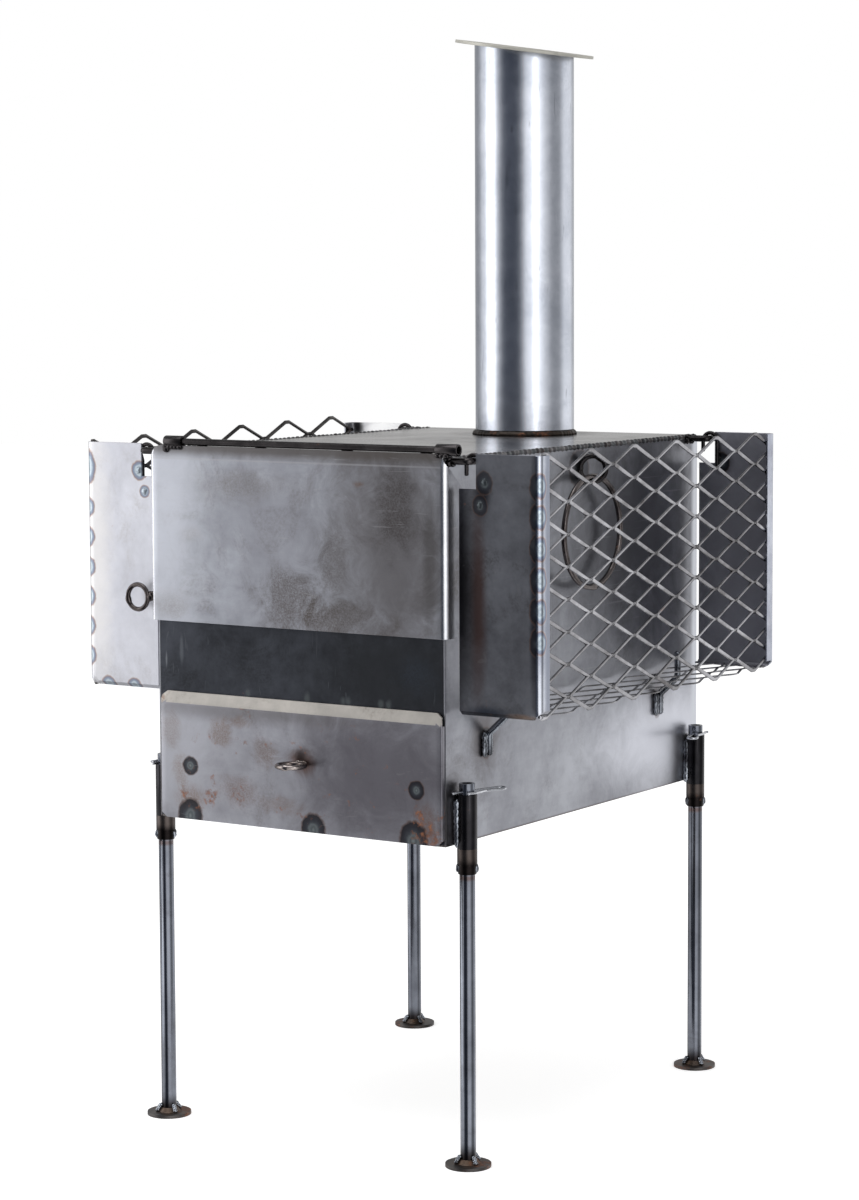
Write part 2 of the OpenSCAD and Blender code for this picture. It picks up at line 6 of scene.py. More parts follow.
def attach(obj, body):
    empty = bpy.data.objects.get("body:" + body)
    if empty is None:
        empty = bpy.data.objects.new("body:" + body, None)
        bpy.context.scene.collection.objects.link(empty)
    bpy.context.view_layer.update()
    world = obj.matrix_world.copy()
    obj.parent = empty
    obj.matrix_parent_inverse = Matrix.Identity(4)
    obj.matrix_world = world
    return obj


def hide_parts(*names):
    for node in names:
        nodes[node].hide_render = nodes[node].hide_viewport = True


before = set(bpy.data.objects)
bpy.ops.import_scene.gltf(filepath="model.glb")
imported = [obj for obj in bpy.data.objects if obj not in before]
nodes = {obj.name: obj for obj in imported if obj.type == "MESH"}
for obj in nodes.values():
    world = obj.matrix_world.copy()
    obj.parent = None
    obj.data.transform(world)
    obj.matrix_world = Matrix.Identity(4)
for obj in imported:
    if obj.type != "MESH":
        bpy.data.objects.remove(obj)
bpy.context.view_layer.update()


# The studio: a white sweep of paper on the floor, a tall soft box at the stove's left and a
# narrow one at its right, in a room that is dark behind the camera. These give bare steel its
# long soft bands.
def tone(red, green, blue):
    """A screen colour, 0 to 255 a channel, as the linear colour that a shader takes."""
    flat = [c / 255 for c in (red, green, blue)]
    return tuple(c / 12.92 if c < 0.04045 else ((c + 0.055) / 1.055) ** 2.4 for c in flat) + (1,)


def put(tree, kind, look=None, **feeds):
    """One shader node. A feed is a socket to link or a fixed value, and i0 names input 0."""
    made = tree.nodes.new("ShaderNode" + kind)
    for name, value in (look or {}).items():
        setattr(made, name, value)
    for name, value in feeds.items():
        number = name[1:] if name[0] == "i" and name[1:].isdigit() else None
        socket = made.inputs[int(number) if number else name.replace("_", " ")]
        if isinstance(value, bpy.types.NodeSocket):
            tree.links.new(value, socket)
        else:
            socket.default_value = value
    return made


def ramp(tree, feed, stops, smooth=False):
    """A colour ramp: stops are (place, colour), and a bare number is a grey."""
    made = put(tree, "ValToRGB", i0=feed)
    band = made.color_ramp
    band.interpolation = "EASE" if smooth else "LINEAR"
    while len(band.elements) < len(stops):
        band.elements.new(0.5)
    for element, (place, colour) in zip(band.elements, stops):
        element.position = place
        element.color = colour if isinstance(colour, tuple) else (colour, colour, colour, 1)
    return made.outputs[0]


def maths(tree, operation, a, b=0.0, c=0.0, clamp=False):
    """One sum on two or three values."""
    look = {"operation": operation, "use_clamp": clamp}
    return put(tree, "Math", look, i0=a, i1=b, i2=c).outputs[0]


def mingle(tree, amount, one, other):
    """A value between two values."""
    return put(tree, "Mix", {"data_type": "FLOAT"}, i0=amount, i2=one, i3=other).outputs[0]


camera_place = Vector((1.6819, -2.57295, 0.8056))
camera_turn, camera_dip, camera_roll = (math.radians(a) for a in (32.80, 5.32, -0.22))
ahead = Vector((-math.sin(camera_turn) * math.cos(camera_dip),
                math.cos(camera_turn) * math.cos(camera_dip), -math.sin(camera_dip)))
flat_right = Vector((math.cos(camera_turn), math.sin(camera_turn), 0))
flat_up = flat_right.cross(ahead)
right = math.cos(camera_roll) * flat_right + math.sin(camera_roll) * flat_up
up = math.cos(camera_roll) * flat_up - math.sin(camera_roll) * flat_right
camera = bpy.data.objects.new("camera", bpy.data.cameras.new("camera"))
bpy.context.scene.collection.objects.link(camera)
camera.matrix_world = Matrix((
    (right.x, up.x, -ahead.x, camera_place.x), (right.y, up.y, -ahead.y, camera_place.y),
    (right.z, up.z, -ahead.z, camera_place.z), (0, 0, 0, 1)))
film, frame_wide, frame_high = 36, 859, 1200
camera_reach = 3173
seen_middle_x, seen_middle_y = 448.36, 568.99
camera.data.sensor_width = film
camera.data.lens = camera_reach / frame_high * film
camera.data.shift_x = (frame_wide / 2 - seen_middle_x) / frame_high
camera.data.shift_y = (seen_middle_y - frame_high / 2) / frame_high
camera.data.clip_start, camera.data.clip_end = 0.05, 60
bpy.context.scene.camera = camera
bpy.context.scene.view_settings.view_transform = "Standard"

room = bpy.data.worlds.new("room")
bpy.context.scene.world = room
room.use_nodes = True
room.node_tree.nodes.clear()
sky = room.node_tree
facing = put(sky, "SeparateXYZ", Vector=put(sky, "TexCoord").outputs["Generated"]).outputs
turn = maths(sky, "ARCTAN2", facing["X"], maths(sky, "MULTIPLY", facing["Y"], -1))
turn = maths(sky, "ADD", maths(sky, "DIVIDE", turn, 2 * math.pi), 0.5)
# Brightness round the room as metal sees it, from behind the stove by its left to its right
walls = ramp(sky, turn, [
    (0.00, 0.62), (0.10, 0.55), (0.19, 0.36), (0.235, 0.50), (0.265, 1.05), (0.378, 1.05),
    (0.403, 0.80), (0.424, 0.36), (0.452, 0.10), (0.548, 0.08), (0.575, 0.40), (0.598, 1.34),
    (0.690, 1.40), (0.735, 0.80), (0.775, 0.38), (0.83, 0.40), (0.885, 1.15), (0.96, 1.10),
    (1.00, 0.62)], True)
high = ramp(sky, facing["Z"], [(0.0, 0.0), (0.35, 0.25), (0.75, 1.0)], True)
ceiling, plain_light = 0.42, 0.62
metal_sees = mingle(sky, high, walls, ceiling)
rays = put(sky, "LightPath").outputs
mirrored = maths(sky, "MAXIMUM", rays["Is Glossy Ray"], rays["Is Transmission Ray"])
strength = mingle(sky, mirrored, plain_light, metal_sees)
strength = mingle(sky, rays["Is Camera Ray"], strength, 1.0)
# The dark end of the room is a cold blue-grey
warm = maths(sky, "MAXIMUM", metal_sees, maths(sky, "SUBTRACT", 1.0, mirrored), clamp=True)
hue = ramp(sky, warm, [(0.0, tone(204, 220, 255)), (0.35, tone(250, 252, 255)), (0.5, 1.0)])
light = put(sky, "Background", Color=hue, Strength=strength)
sky.links.new(light.outputs[0], put(sky, "OutputWorld").inputs[0])

for name, place, aim, size, power in (
        ("left_soft_box", (-2.05, -1.35, 0.95), (-0.1, 0.0, 0.55), (1.3, 2.0), 12.0),
        ("right_soft_box", (2.9, -1.7, 1.25), (0.0, 0.1, 0.6), (0.7, 1.9), 8.0),
        ("top_soft_box", (-0.3, -0.7, 2.7), (0.0, 0.0, 0.6), (1.8, 1.8), 22.0)):
    lamp = bpy.data.lights.new(name, "AREA")
    lamp.shape = "RECTANGLE"
    lamp.size, lamp.size_y = size
    lamp.energy = power
    holder = bpy.data.objects.new(name, lamp)
    bpy.context.scene.collection.objects.link(holder)
    holder.location = place
    holder.rotation_euler = (Vector(aim) - Vector(place)).to_track_quat("-Z", "Y").to_euler()

paper = bpy.data.materials.new("white_paper")
paper.use_nodes = True
paper.node_tree.nodes.clear()
sheet = paper.node_tree
fibre = put(sheet, "TexNoise", Scale=3.0, Detail=2.0).outputs[0]
rays = put(sheet, "LightPath").outputs
seen = maths(sheet, "MAXIMUM", rays["Is Camera Ray"], rays["Is Glossy Ray"])
seen = maths(sheet, "MAXIMUM", seen, rays["Is Transmission Ray"])
matt = put(sheet, "BsdfDiffuse", Color=ramp(sheet, fibre, [(0.3, 0.86), (0.7, 0.9)]))
whiteness = 0.55
glow = put(sheet, "Emission", Color=(1, 1, 1, 1),
           Strength=maths(sheet, "MULTIPLY", seen, whiteness))
lit_paper = put(sheet, "AddShader", i0=matt.outputs[0], i1=glow.outputs[0])
# The paper ends a short way from the feet for metal, which sees the dark and light room past it
far = put(sheet, "VectorMath", {"operation": "LENGTH"}, i0=put(sheet, "TexCoord").outputs["Object"])
past = put(sheet, "MapRange", Value=far.outputs["Value"], From_Min=0.2, From_Max=0.3).outputs[0]
past = maths(sheet, "MULTIPLY", past, rays["Is Glossy Ray"])
seen_past = put(sheet, "MixShader", i0=past, i1=lit_paper.outputs[0],
                i2=put(sheet, "BsdfTransparent").outputs[0])
sheet.links.new(seen_past.outputs[0], put(sheet, "OutputMaterial").inputs[0])
sweep = bpy.data.meshes.new("paper_sweep")
reach = 9.0
sweep.from_pydata([(-reach, -reach, 0), (reach, -reach, 0), (reach, reach, 0), (-reach, reach, 0)],
                  [], [(0, 1, 2, 3)])
sweep.materials.append(paper)
floor = bpy.data.objects.new("paper_sweep", sweep)
bpy.context.scene.collection.objects.link(floor)


# The firebox walls: 2 mm bare steel sheet, cut, folded and welded, still with the mill's grey
# skin, oil marks and fine rolling lines. The sockets and rods welded to them have left blue and
# brown rings of heat. Painted shade darkens their upper backs behind the rack mesh, painted light
# brightens their lower backs, and a thin painted highlight runs down each back corner's bend.
def effect(name, takes, gives):
    """A shader node group: its tree, the sockets it takes and the sockets it gives."""
    tree = bpy.data.node_groups.new(name, "ShaderNodeTree")
    for label, kind, start in takes:
        socket = tree.interface.new_socket(label, in_out="INPUT", socket_type="NodeSocket" + kind)
        socket.default_value = start
    for label, kind in gives:
        tree.interface.new_socket(label, in_out="OUTPUT", socket_type="NodeSocket" + kind)
    return tree, tree.nodes.new("NodeGroupInput").outputs, tree.nodes.new("NodeGroupOutput").inputs


def blend(tree, amount, below, above):
    """Lays one colour over another."""
    return put(tree, "Mix", {"data_type": "RGBA"}, i0=amount, i6=below, i7=above).outputs[2]


def moved(tree, operation, spot, by):
    """One sum on a place."""
    return put(tree, "VectorMath", {"operation": operation}, i0=spot, i1=by).outputs[0]


def length(tree, spot):
    """How far a place is from the origin."""
    return put(tree, "VectorMath", {"operation": "LENGTH"}, i0=spot).outputs["Value"]


def cloud(tree, spot, scale, detail, rough=0.5, warp=0.0):
    """A cloudy pattern from 0 to 1."""
    return put(tree, "TexNoise", Vector=spot, Scale=scale, Detail=detail, Roughness=rough,
               Distortion=warp).outputs[0]


def own_place(tree):
    """The place on the stove, in metres."""
    return put(tree, "TexCoord").outputs["Object"]


# Mill skin of rolled sheet: wide cloudy tones, hand smudges, fine lines along the rolling
mill_skin, takes, gives = effect("mill_skin", [
    ("Light", "Color", (0.5, 0.5, 0.5, 1)), ("Dark", "Color", (0.2, 0.2, 0.2, 1)),
    ("Smudge", "Color", (0.1, 0.09, 0.08, 1)), ("Smudging", "Float", 0.5),
    ("Rolling", "Vector", (1, 1, 1)), ("Shift", "Float", 0.0)],
    [("Color", "Color"), ("Dullness", "Float"), ("Height", "Float")])
spot = moved(mill_skin, "ADD", own_place(mill_skin), takes["Shift"])
clouds = cloud(mill_skin, spot, 8.0, 5.0, 0.55, 0.5)
fine = cloud(mill_skin, spot, 55.0, 6.0, 0.65)
lines = cloud(mill_skin, moved(mill_skin, "MULTIPLY", spot, takes["Rolling"]), 1.0, 3.0, 0.6)
body = maths(mill_skin, "MULTIPLY_ADD", fine, 0.45, maths(mill_skin, "MULTIPLY", clouds, 0.85))
body = maths(mill_skin, "MULTIPLY_ADD", lines, 0.12, body)
shade = ramp(mill_skin, body, [(0.54, 0.0), (0.88, 1.0)])
cover = blend(mill_skin, shade, takes["Dark"], takes["Light"])
wiped = ramp(mill_skin, cloud(mill_skin, spot, 14.0, 7.0, 0.7, 1.1), [(0.52, 0.0), (0.66, 1.0)])
pores = ramp(mill_skin, cloud(mill_skin, spot, 420.0, 2.0), [(0.35, 0.25), (0.62, 1.0)])
smear = maths(mill_skin, "MULTIPLY", maths(mill_skin, "MULTIPLY", wiped, pores), takes["Smudging"])
mill_skin.links.new(blend(mill_skin, smear, cover, takes["Smudge"]), gives["Color"])
dull = maths(mill_skin, "MULTIPLY_ADD", smear, 0.6, maths(mill_skin, "MULTIPLY", fine, 0.7),
             clamp=True)
mill_skin.links.new(dull, gives["Dullness"])
mill_skin.links.new(maths(mill_skin, "MULTIPLY_ADD", lines, 0.7, maths(
    mill_skin, "MULTIPLY", fine, 0.5)), gives["Height"])

# Rust bloom: blotches of orange-brown freckles where damp has sat
rust_bloom, takes, gives = effect("rust_bloom", [
    ("Cover", "Float", 0.3), ("Size", "Float", 22.0), ("Shift", "Float", 0.0)],
    [("Mask", "Float"), ("Color", "Color")])
spot = moved(rust_bloom, "ADD", own_place(rust_bloom), takes["Shift"])
patches = cloud(rust_bloom, spot, takes["Size"], 4.0, 0.6)
specks = cloud(rust_bloom, spot, 260.0, 4.0, 0.7)
edge = maths(rust_bloom, "SUBTRACT", 0.78, maths(rust_bloom, "MULTIPLY", takes["Cover"], 0.4))
damp = maths(rust_bloom, "MULTIPLY_ADD", specks, 0.35, maths(rust_bloom, "MULTIPLY", patches, 0.8))
found = maths(rust_bloom, "MULTIPLY", maths(rust_bloom, "SUBTRACT", damp, edge), 9.0, clamp=True)
rust_bloom.links.new(found, gives["Mask"])
rust_bloom.links.new(ramp(rust_bloom, specks, [
    (0.3, tone(58, 36, 26)), (0.5, tone(112, 66, 40)), (0.7, tone(160, 100, 62))]), gives["Color"])

# Heat rings: a row of spots where a weld on the far side has tinted the sheet, each with a dull
# middle, a blue rim and a brown halo
heat_rings, takes, gives = effect("heat_rings", [
    ("Start", "Vector", (0, 0, 0)), ("Along", "Vector", (0, 0, 1)), ("Pitch", "Float", 1.0),
    ("More", "Float", 0.0), ("Radius", "Float", 0.01), ("Squash", "Vector", (1, 1, 1)),
    ("Pale", "Float", 0.0)], [("Mask", "Float"), ("Color", "Color")])
spot = own_place(heat_rings)
ragged = cloud(heat_rings, spot, 160.0, 3.0)
spot = moved(heat_rings, "SUBTRACT", spot, takes["Start"])
steps = put(heat_rings, "VectorMath", {"operation": "DOT_PRODUCT"}, i0=spot, i1=takes["Along"])
steps = maths(heat_rings, "DIVIDE", steps.outputs["Value"], takes["Pitch"])
steps = maths(heat_rings, "MAXIMUM", maths(heat_rings, "ROUND", steps), 0.0)
steps = maths(heat_rings, "MINIMUM", steps, takes["More"])
back = put(heat_rings, "VectorMath", {"operation": "SCALE"}, i0=takes["Along"],
           Scale=maths(heat_rings, "MULTIPLY", steps, takes["Pitch"])).outputs[0]
spot = moved(heat_rings, "MULTIPLY", moved(heat_rings, "SUBTRACT", spot, back), takes["Squash"])
away = maths(heat_rings, "DIVIDE", length(heat_rings, spot), takes["Radius"])
away = maths(heat_rings, "ADD", away, maths(heat_rings, "MULTIPLY_ADD", ragged, 0.3, -0.15))
heat_rings.links.new(ramp(heat_rings, away, [(0.0, 1.0), (0.82, 0.96), (0.92, 0.6), (1.0, 0.0)]),
                     gives["Mask"])
scorched = ramp(heat_rings, away, [
    (0.0, tone(116, 124, 126)), (0.14, tone(80, 87, 90)), (0.28, tone(98, 105, 108)),
    (0.44, tone(56, 60, 66)), (0.62, tone(38, 39, 46)), (0.82, tone(32, 30, 34)),
    (0.92, tone(84, 62, 52)), (1.0, tone(110, 98, 92))])
tinted = ramp(heat_rings, away, [
    (0.0, tone(186, 196, 202)), (0.25, tone(150, 162, 172)), (0.45, tone(182, 194, 202)),
    (0.6, tone(124, 140, 160)), (0.78, tone(120, 118, 134)), (0.88, tone(150, 122, 108)),
    (1.0, tone(206, 196, 190))])
heat_rings.links.new(blend(heat_rings, takes["Pale"], scorched, tinted), gives["Color"])

# Stain and light patches: a soft, ragged patch at one place, such as a hand's grease or a shade of
# heat, and also painted shade and painted highlights on the walls, door, drawer and racks
stains_and_painted_light, takes, gives = effect("stains_and_painted_light", [
    ("Centre", "Vector", (0, 0, 0)), ("Spread", "Vector", (1, 1, 1)), ("Ragged", "Float", 0.6),
    ("Porous", "Float", 0.0)], [("Mask", "Float")])
spot = own_place(stains_and_painted_light)
wispy = cloud(stains_and_painted_light, spot, 28.0, 7.0, 0.72, 0.8)
pores = cloud(stains_and_painted_light, spot, 620.0, 6.0, 0.8)
spot = moved(stains_and_painted_light, "DIVIDE", moved(stains_and_painted_light, "SUBTRACT", spot, takes["Centre"]), takes["Spread"])
away = maths(stains_and_painted_light, "ADD", length(stains_and_painted_light, spot), maths(stains_and_painted_light, "MULTIPLY", maths(
    stains_and_painted_light, "SUBTRACT", wispy, 0.5), maths(stains_and_painted_light, "MULTIPLY", takes["Ragged"], 3.0)))
pores = mingle(stains_and_painted_light, takes["Porous"], 1.0, ramp(stains_and_painted_light, pores, [(0.4, 0.35), (0.58, 1.0)]))
stains_and_painted_light.links.new(maths(stains_and_painted_light, "MULTIPLY", pores, ramp(stains_and_painted_light, away, [
    (0.15, 1.0), (1.0, 0.0)], True)), gives["Mask"])

# Scuffs: thin pale scratches that run one way, where pieces have rubbed together
scuffs, takes, gives = effect("scuffs", [
    ("Stretch", "Vector", (1, 1, 1)), ("Amount", "Float", 0.5)], [("Mask", "Float")])
spot = own_place(scuffs)
thin = cloud(scuffs, moved(scuffs, "MULTIPLY", spot, takes["Stretch"]), 1.0, 1.0, warp=0.6)
where = cloud(scuffs, spot, 16.0, 2.0)
thin = ramp(scuffs, thin, [(0.68, 0.0), (0.72, 1.0)])
where = ramp(scuffs, where, [(0.48, 0.0), (0.6, 1.0)])
scuffs.links.new(maths(scuffs, "MULTIPLY", maths(scuffs, "MULTIPLY", thin, where),
                       takes["Amount"]), gives["Mask"])


def at(x, y, z):
    """A place on the stove, in mm from the middle, the front face and the underside."""
    return Vector((x / 1000, (y - 218.65) / 1000, (z + 294.3) / 1000))


def burn(place, radius, strength, squash=(1, 1, 1), along=(0, 0, 1), pitch=1, more=0):
    """A ring of heat at a place in mm, or a row of them. Its radius and pitch are in metres."""
    return tuple(at(*place)), along, pitch, more, radius, squash, strength


def steel(name, light, dark, smudge=(70, 62, 56), smudging=0.5, rolling=(25, 25, 25), shift=0.0,
          rough=(0.3, 0.5), metal=0.9, bump=0.12, rust=0.0, rust_size=22.0, rings=(), scuff=None,
          patches=(), pale=0.0, damp=()):
    """Bare steel. Rings come from burn(), patches are (centre, spread, ragged, colour, strength)
    soft patches, both real marks and painted shade and painted highlights, and damp is (centre,
    spread, amount) places with more rust."""
    made = bpy.data.materials.new(name)
    made.use_nodes = True
    tree = made.node_tree
    tree.nodes.clear()
    skin = put(tree, "Group", {"node_tree": mill_skin}, Light=tone(*light), Dark=tone(*dark),
               Smudge=tone(*smudge), Smudging=smudging, Rolling=rolling, Shift=shift).outputs
    cover, dull, height = skin["Color"], skin["Dullness"], skin["Height"]
    shine = metal
    for centre, spread, ragged, colour, strong in patches:
        stain_and_light_mask = put(tree, "Group", {"node_tree": stains_and_painted_light}, Centre=tuple(at(*centre)), Spread=spread,
                    Ragged=ragged, Porous=float(ragged > 0.5)).outputs[0]
        cover = blend(tree, maths(tree, "MULTIPLY", stain_and_light_mask, strong), cover, tone(*colour))
    for start, along, pitch, more, radius, squash, strong in rings:
        heat = put(tree, "Group", {"node_tree": heat_rings}, Start=start, Along=along, Pitch=pitch,
                   More=more, Radius=radius, Squash=squash, Pale=pale).outputs
        cover = blend(tree, maths(tree, "MULTIPLY", heat["Mask"], strong), cover, heat["Color"])
    if scuff:
        marks = put(tree, "Group", {"node_tree": scuffs}, Stretch=scuff[0],
                    Amount=scuff[1]).outputs[0]
        cover = blend(tree, marks, cover, tone(*scuff[2]))
        height = maths(tree, "SUBTRACT", height, maths(tree, "MULTIPLY", marks, 0.5))
    if rust:
        for centre, spread, amount in damp:
            wet = put(tree, "Group", {"node_tree": stains_and_painted_light}, Centre=tuple(at(*centre)),
                      Spread=spread, Ragged=0.5).outputs[0]
            rust = maths(tree, "MULTIPLY_ADD", wet, amount, rust)
        bloom = put(tree, "Group", {"node_tree": rust_bloom}, Cover=rust, Size=rust_size,
                    Shift=shift).outputs
        cover = blend(tree, maths(tree, "MULTIPLY", bloom["Mask"], 0.8), cover, bloom["Color"])
        dull = maths(tree, "ADD", dull, bloom["Mask"], clamp=True)
        height = maths(tree, "MULTIPLY_ADD", bloom["Mask"], 0.8, height)
        shine = maths(tree, "MULTIPLY_ADD", bloom["Mask"], -0.55, metal)
    dull = put(tree, "MapRange", Value=dull, To_Min=rough[0], To_Max=rough[1]).outputs[0]
    relief = put(tree, "Bump", Strength=bump, Distance=0.0006, Height=height).outputs[0]
    face = put(tree, "BsdfPrincipled", Base_Color=cover, Roughness=dull, Metallic=shine,
               Normal=relief)
    tree.links.new(face.outputs[0], put(tree, "OutputMaterial").inputs[0])
    return made


def file_edges(piece, name, width, angle):
    """Breaks the edges of a piece that are sharper than an angle, as a file does."""
    edge = piece.modifiers.new(name, "BEVEL")
    edge.width, edge.segments = width, 2
    edge.limit_method, edge.angle_limit = "ANGLE", math.radians(angle)


def finish_node(name, material, soften=0.0, swell=0.0):
    """Gives a CAD piece its finish, takes the sharpness off its cut edges, or fattens it."""
    piece = nodes[name]
    piece.data.materials.clear()
    piece.data.materials.append(material)
    if soften or swell:
        weld = piece.modifiers.new("one_skin", "WELD")
        weld.merge_threshold = 0.000002
    if swell:
        fuller = piece.modifiers.new("fuller_tube", "DISPLACE")
        fuller.strength, fuller.mid_level = swell, 0.0
    if soften:
        file_edges(piece, "soft_edges", soften, 35)


both_sides, wall_x = (1, -1), 161
wall_rings = [burn((s * wall_x, y, 20), 0.012, 0.5, (1, 1.4, 1), pitch=0.016, more=1)
              for s in both_sides for y in (20, 450)]
wall_rings += [burn((s * wall_x, y, 86), 0.013, 0.6, (1, 1.3, 0.8))
               for s in both_sides for y in (68, 388)]
wall_rings += [burn((s * wall_x, 235, 327), 0.02, 0.7) for s in both_sides]
wall_patches = [((s * wall_x, y, 20), (0.05, 0.05, 0.075), 0.4, (74, 66, 64), 0.7)
                for s in both_sides for y in (12, 458)]
wall_patches += [((s * wall_x, y, 88), (0.04, 0.034, 0.045), 0.4, (76, 68, 66), 0.65)
                 for s in both_sides for y in (64, 388)]
# Painted shade on the upper back of each wall, behind the rack mesh
wall_patches += [((wall_x, 352, 260), (0.06, 0.25, 0.17), 0.25, (66, 66, 71), 0.8),
                 ((-wall_x, 400, 230), (0.06, 0.19, 0.16), 0.25, (70, 70, 74), 0.4)]
# A dark line along the cut bottom edge, painted light on the lower back, and a painted highlight
# strip down the back corner's bend
for centre, spread, ragged, colour, strength in (
        ((235, 0), (0.3, 2.0, 0.0024), 0.05, (80, 70, 66), 0.8),
        ((420, 50), (0.06, 0.24, 0.07), 0.2, (214, 216, 225), 0.85),
        ((466, 200), (0.02, 0.011, 1.0), 0.06, (204, 207, 214), 0.85)):
    wall_patches += [((s * wall_x, *centre), spread, ragged, colour, strength) for s in both_sides]
wall_steel = steel("wall_steel", (166, 168, 175), (132, 133, 140), smudging=0.25, metal=0.92,
                   rolling=(120, 18, 160), rough=(0.3, 0.44), rust=0.08, patches=wall_patches,
                   rings=wall_rings, scuff=((60, 9, 500), 0.2, (180, 180, 184)))
for name in ("left_wall", "right_wall", "back_wall"):
    finish_node(name, wall_steel, 0.0005)

# The floor of the firebox and what stands in it: the loose grate of 4 mm plate with cut slots
# and the two angle ledges it rests on, blackened a little by the first test fires.
inner_steel = steel("inner_steel", (120, 116, 114), (66, 62, 60), smudging=0.7, rust=0.3,
                    rolling=(30, 30, 30), rough=(0.4, 0.62), metal=0.85, bump=0.25)
for name in ("floor_plate", "grate_ledges"):
    finish_node(name, inner_steel, 0.0003)
soot_steel = steel("soot_steel", (92, 88, 86), (44, 42, 42), smudging=0.8, rust=0.4, shift=3.1,
                   rolling=(200, 20, 20), rough=(0.45, 0.7), metal=0.8, bump=0.35)
finish_node("fire_grate", soot_steel, 0.0005)


# The top plate: 3 mm hot-rolled sheet, a warm grey with streaks along the stove. The flue's weld
# has tinted it in a wide ring.
pipe_y, top_z = 400, 348.7
flue_tint = [burn((0, pipe_y, top_z), 0.078, 0.55)]
top_steel = steel("top_steel", (184, 182, 180), (122, 120, 118), smudge=(92, 88, 84),
                  smudging=0.55, rolling=(160, 7, 30), rough=(0.14, 0.32), metal=0.92, rust=0.12,
                  rings=flue_tint, scuff=((260, 12, 40), 0.4, (190, 188, 184)))
finish_node("top_plate", top_steel, 0.0004)


# The dark front plate: 2 mm sheet of a bluer, blacker stock that the door and the drawer close
# against. Pale scratches show where the door and the drawer's lip have rubbed it.
plate_marks = [((110, 0, 150), (0.14, 0.02, 0.06), 0.3, (35, 37, 41), 0.75),
               ((130, 0, 150), (0.03, 0.02, 0.03), 0.6, (52, 60, 72), 0.4),
               ((-134, 0, 160), (0.003, 0.02, 0.02), 0.3, (96, 100, 106), 0.5),
               ((-152, 0, 150), (0.0014, 0.02, 0.01), 0.3, (120, 124, 130), 0.6)]
plate_marks += [((x, 0, 124), (0.0045, 0.02, 0.007), 0.5, (84, 90, 92), 0.6)
                for x in (-57, 10, 50, 56, 92, 100)]
scale_steel = steel("scale_steel", (68, 71, 79), (37, 39, 45), smudge=(27, 28, 31), smudging=0.6,
                    rolling=(12, 12, 60), rough=(0.3, 0.48), metal=0.75, rust=0.03,
                    patches=plate_marks, scuff=((260, 160, 40), 0.16, (110, 114, 120)))
finish_node("front_plate", scale_steel, 0.0003)


# The seam welds: one long bead down each top corner, laid like a row of small overlapping coins,
# in dull grey with straw and blue heat colours.
def build(name, verts, faces, material, body, slot, smooth=True):
    """A mesh piece that rides on a body and takes the given material. The slot argument is not
    used.
    """
    shape = bpy.data.meshes.new(name)
    shape.from_pydata([tuple(v) for v in verts], [], faces)
    shape.validate()
    shape.update()
    if smooth:
        shape.shade_smooth()
    shape.materials.append(material)
    piece = bpy.data.objects.new(name, shape)
    bpy.context.scene.collection.objects.link(piece)
    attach(piece, body)
    return piece


def bar_faces(steps, around):
    """The faces over rings of points that follow one another, with a cap on each end."""
    faces = [(i * around + k, i * around + (k + 1) % around, (i + 1) * around + (k + 1) % around,
              (i + 1) * around + k) for i in range(steps) for k in range(around)]
    return faces + [tuple(range(around))[::-1], tuple(steps * around + k for k in range(around))]


def round_bar(path, radius, sides=14, closed=False, lumps=None):
    """Round wire or rod along a path. lumps(s) gives the radius at each length along it."""
    path = [Vector(p) for p in path]
    count = len(path)
    reach = [0.0]
    for a, b in zip(path, path[1:]):
        reach.append(reach[-1] + (b - a).length)
    verts, side = [], None
    for i, p in enumerate(path):
        before = path[(i - 1) % count] if closed or i else p
        after = path[(i + 1) % count] if closed or i < count - 1 else p
        way = (after - before).normalized()
        if side is None:
            side = way.orthogonal().normalized()
        side = (side - way * side.dot(way)).normalized()
        over = way.cross(side)
        r = lumps(reach[i]) if lumps else radius
        fits = [(0.0, r)]
        rounded_end = [(0.0, r * 0.55), (r * 0.22, r * 0.88), (r * 0.5, r)]
        if not closed and i == 0:
            fits = rounded_end
        if not closed and i == count - 1:
            fits = [(-inwards, fit) for inwards, fit in rounded_end[::-1]]
        for inwards, fit in fits:
            for k in range(sides):
                a = 2 * math.pi * k / sides
                verts.append(p + way * inwards + fit * (math.cos(a) * side + math.sin(a) * over))
    last = len(verts) - sides
    faces = bar_faces(last // sides, sides)
    if closed:
        twist = min(range(sides), key=lambda t: (verts[t] - verts[last]).length)
        faces = faces[:-2] + [(last + k, last + (k + 1) % sides, (k + 1 + twist) % sides,
                               (k + twist) % sides) for k in range(sides)]
    return verts, faces


def together(parts):
    """Several loose shells as one mesh."""
    verts, faces = [], []
    for v, f in parts:
        faces += [tuple(i + len(verts) for i in one) for one in f]
        verts += v
    return verts, faces


# A fixed seed, because noise_vector starts from the clock without one
noise.seed_set(7)


def weld_bead(start, end, radius, pitch, seed):
    """A bead of overlapping coins between two places."""
    count = int((end - start).length / pitch * 8)
    path = [start.lerp(end, i / count) for i in range(count + 1)]
    wander = [p + noise.noise_vector(p * 90 + Vector((seed, 0, 0))) * radius * 0.16 for p in path]

    def coin(s):
        ripple = (s / pitch) % 1
        slow = noise.noise(Vector((s * 120, seed, 0))) * 0.1
        return radius * (0.66 + 0.36 * math.sin(math.pi * min(1, ripple * 1.25)) + slow)
    return round_bar(wander, radius, 10, lumps=coin)


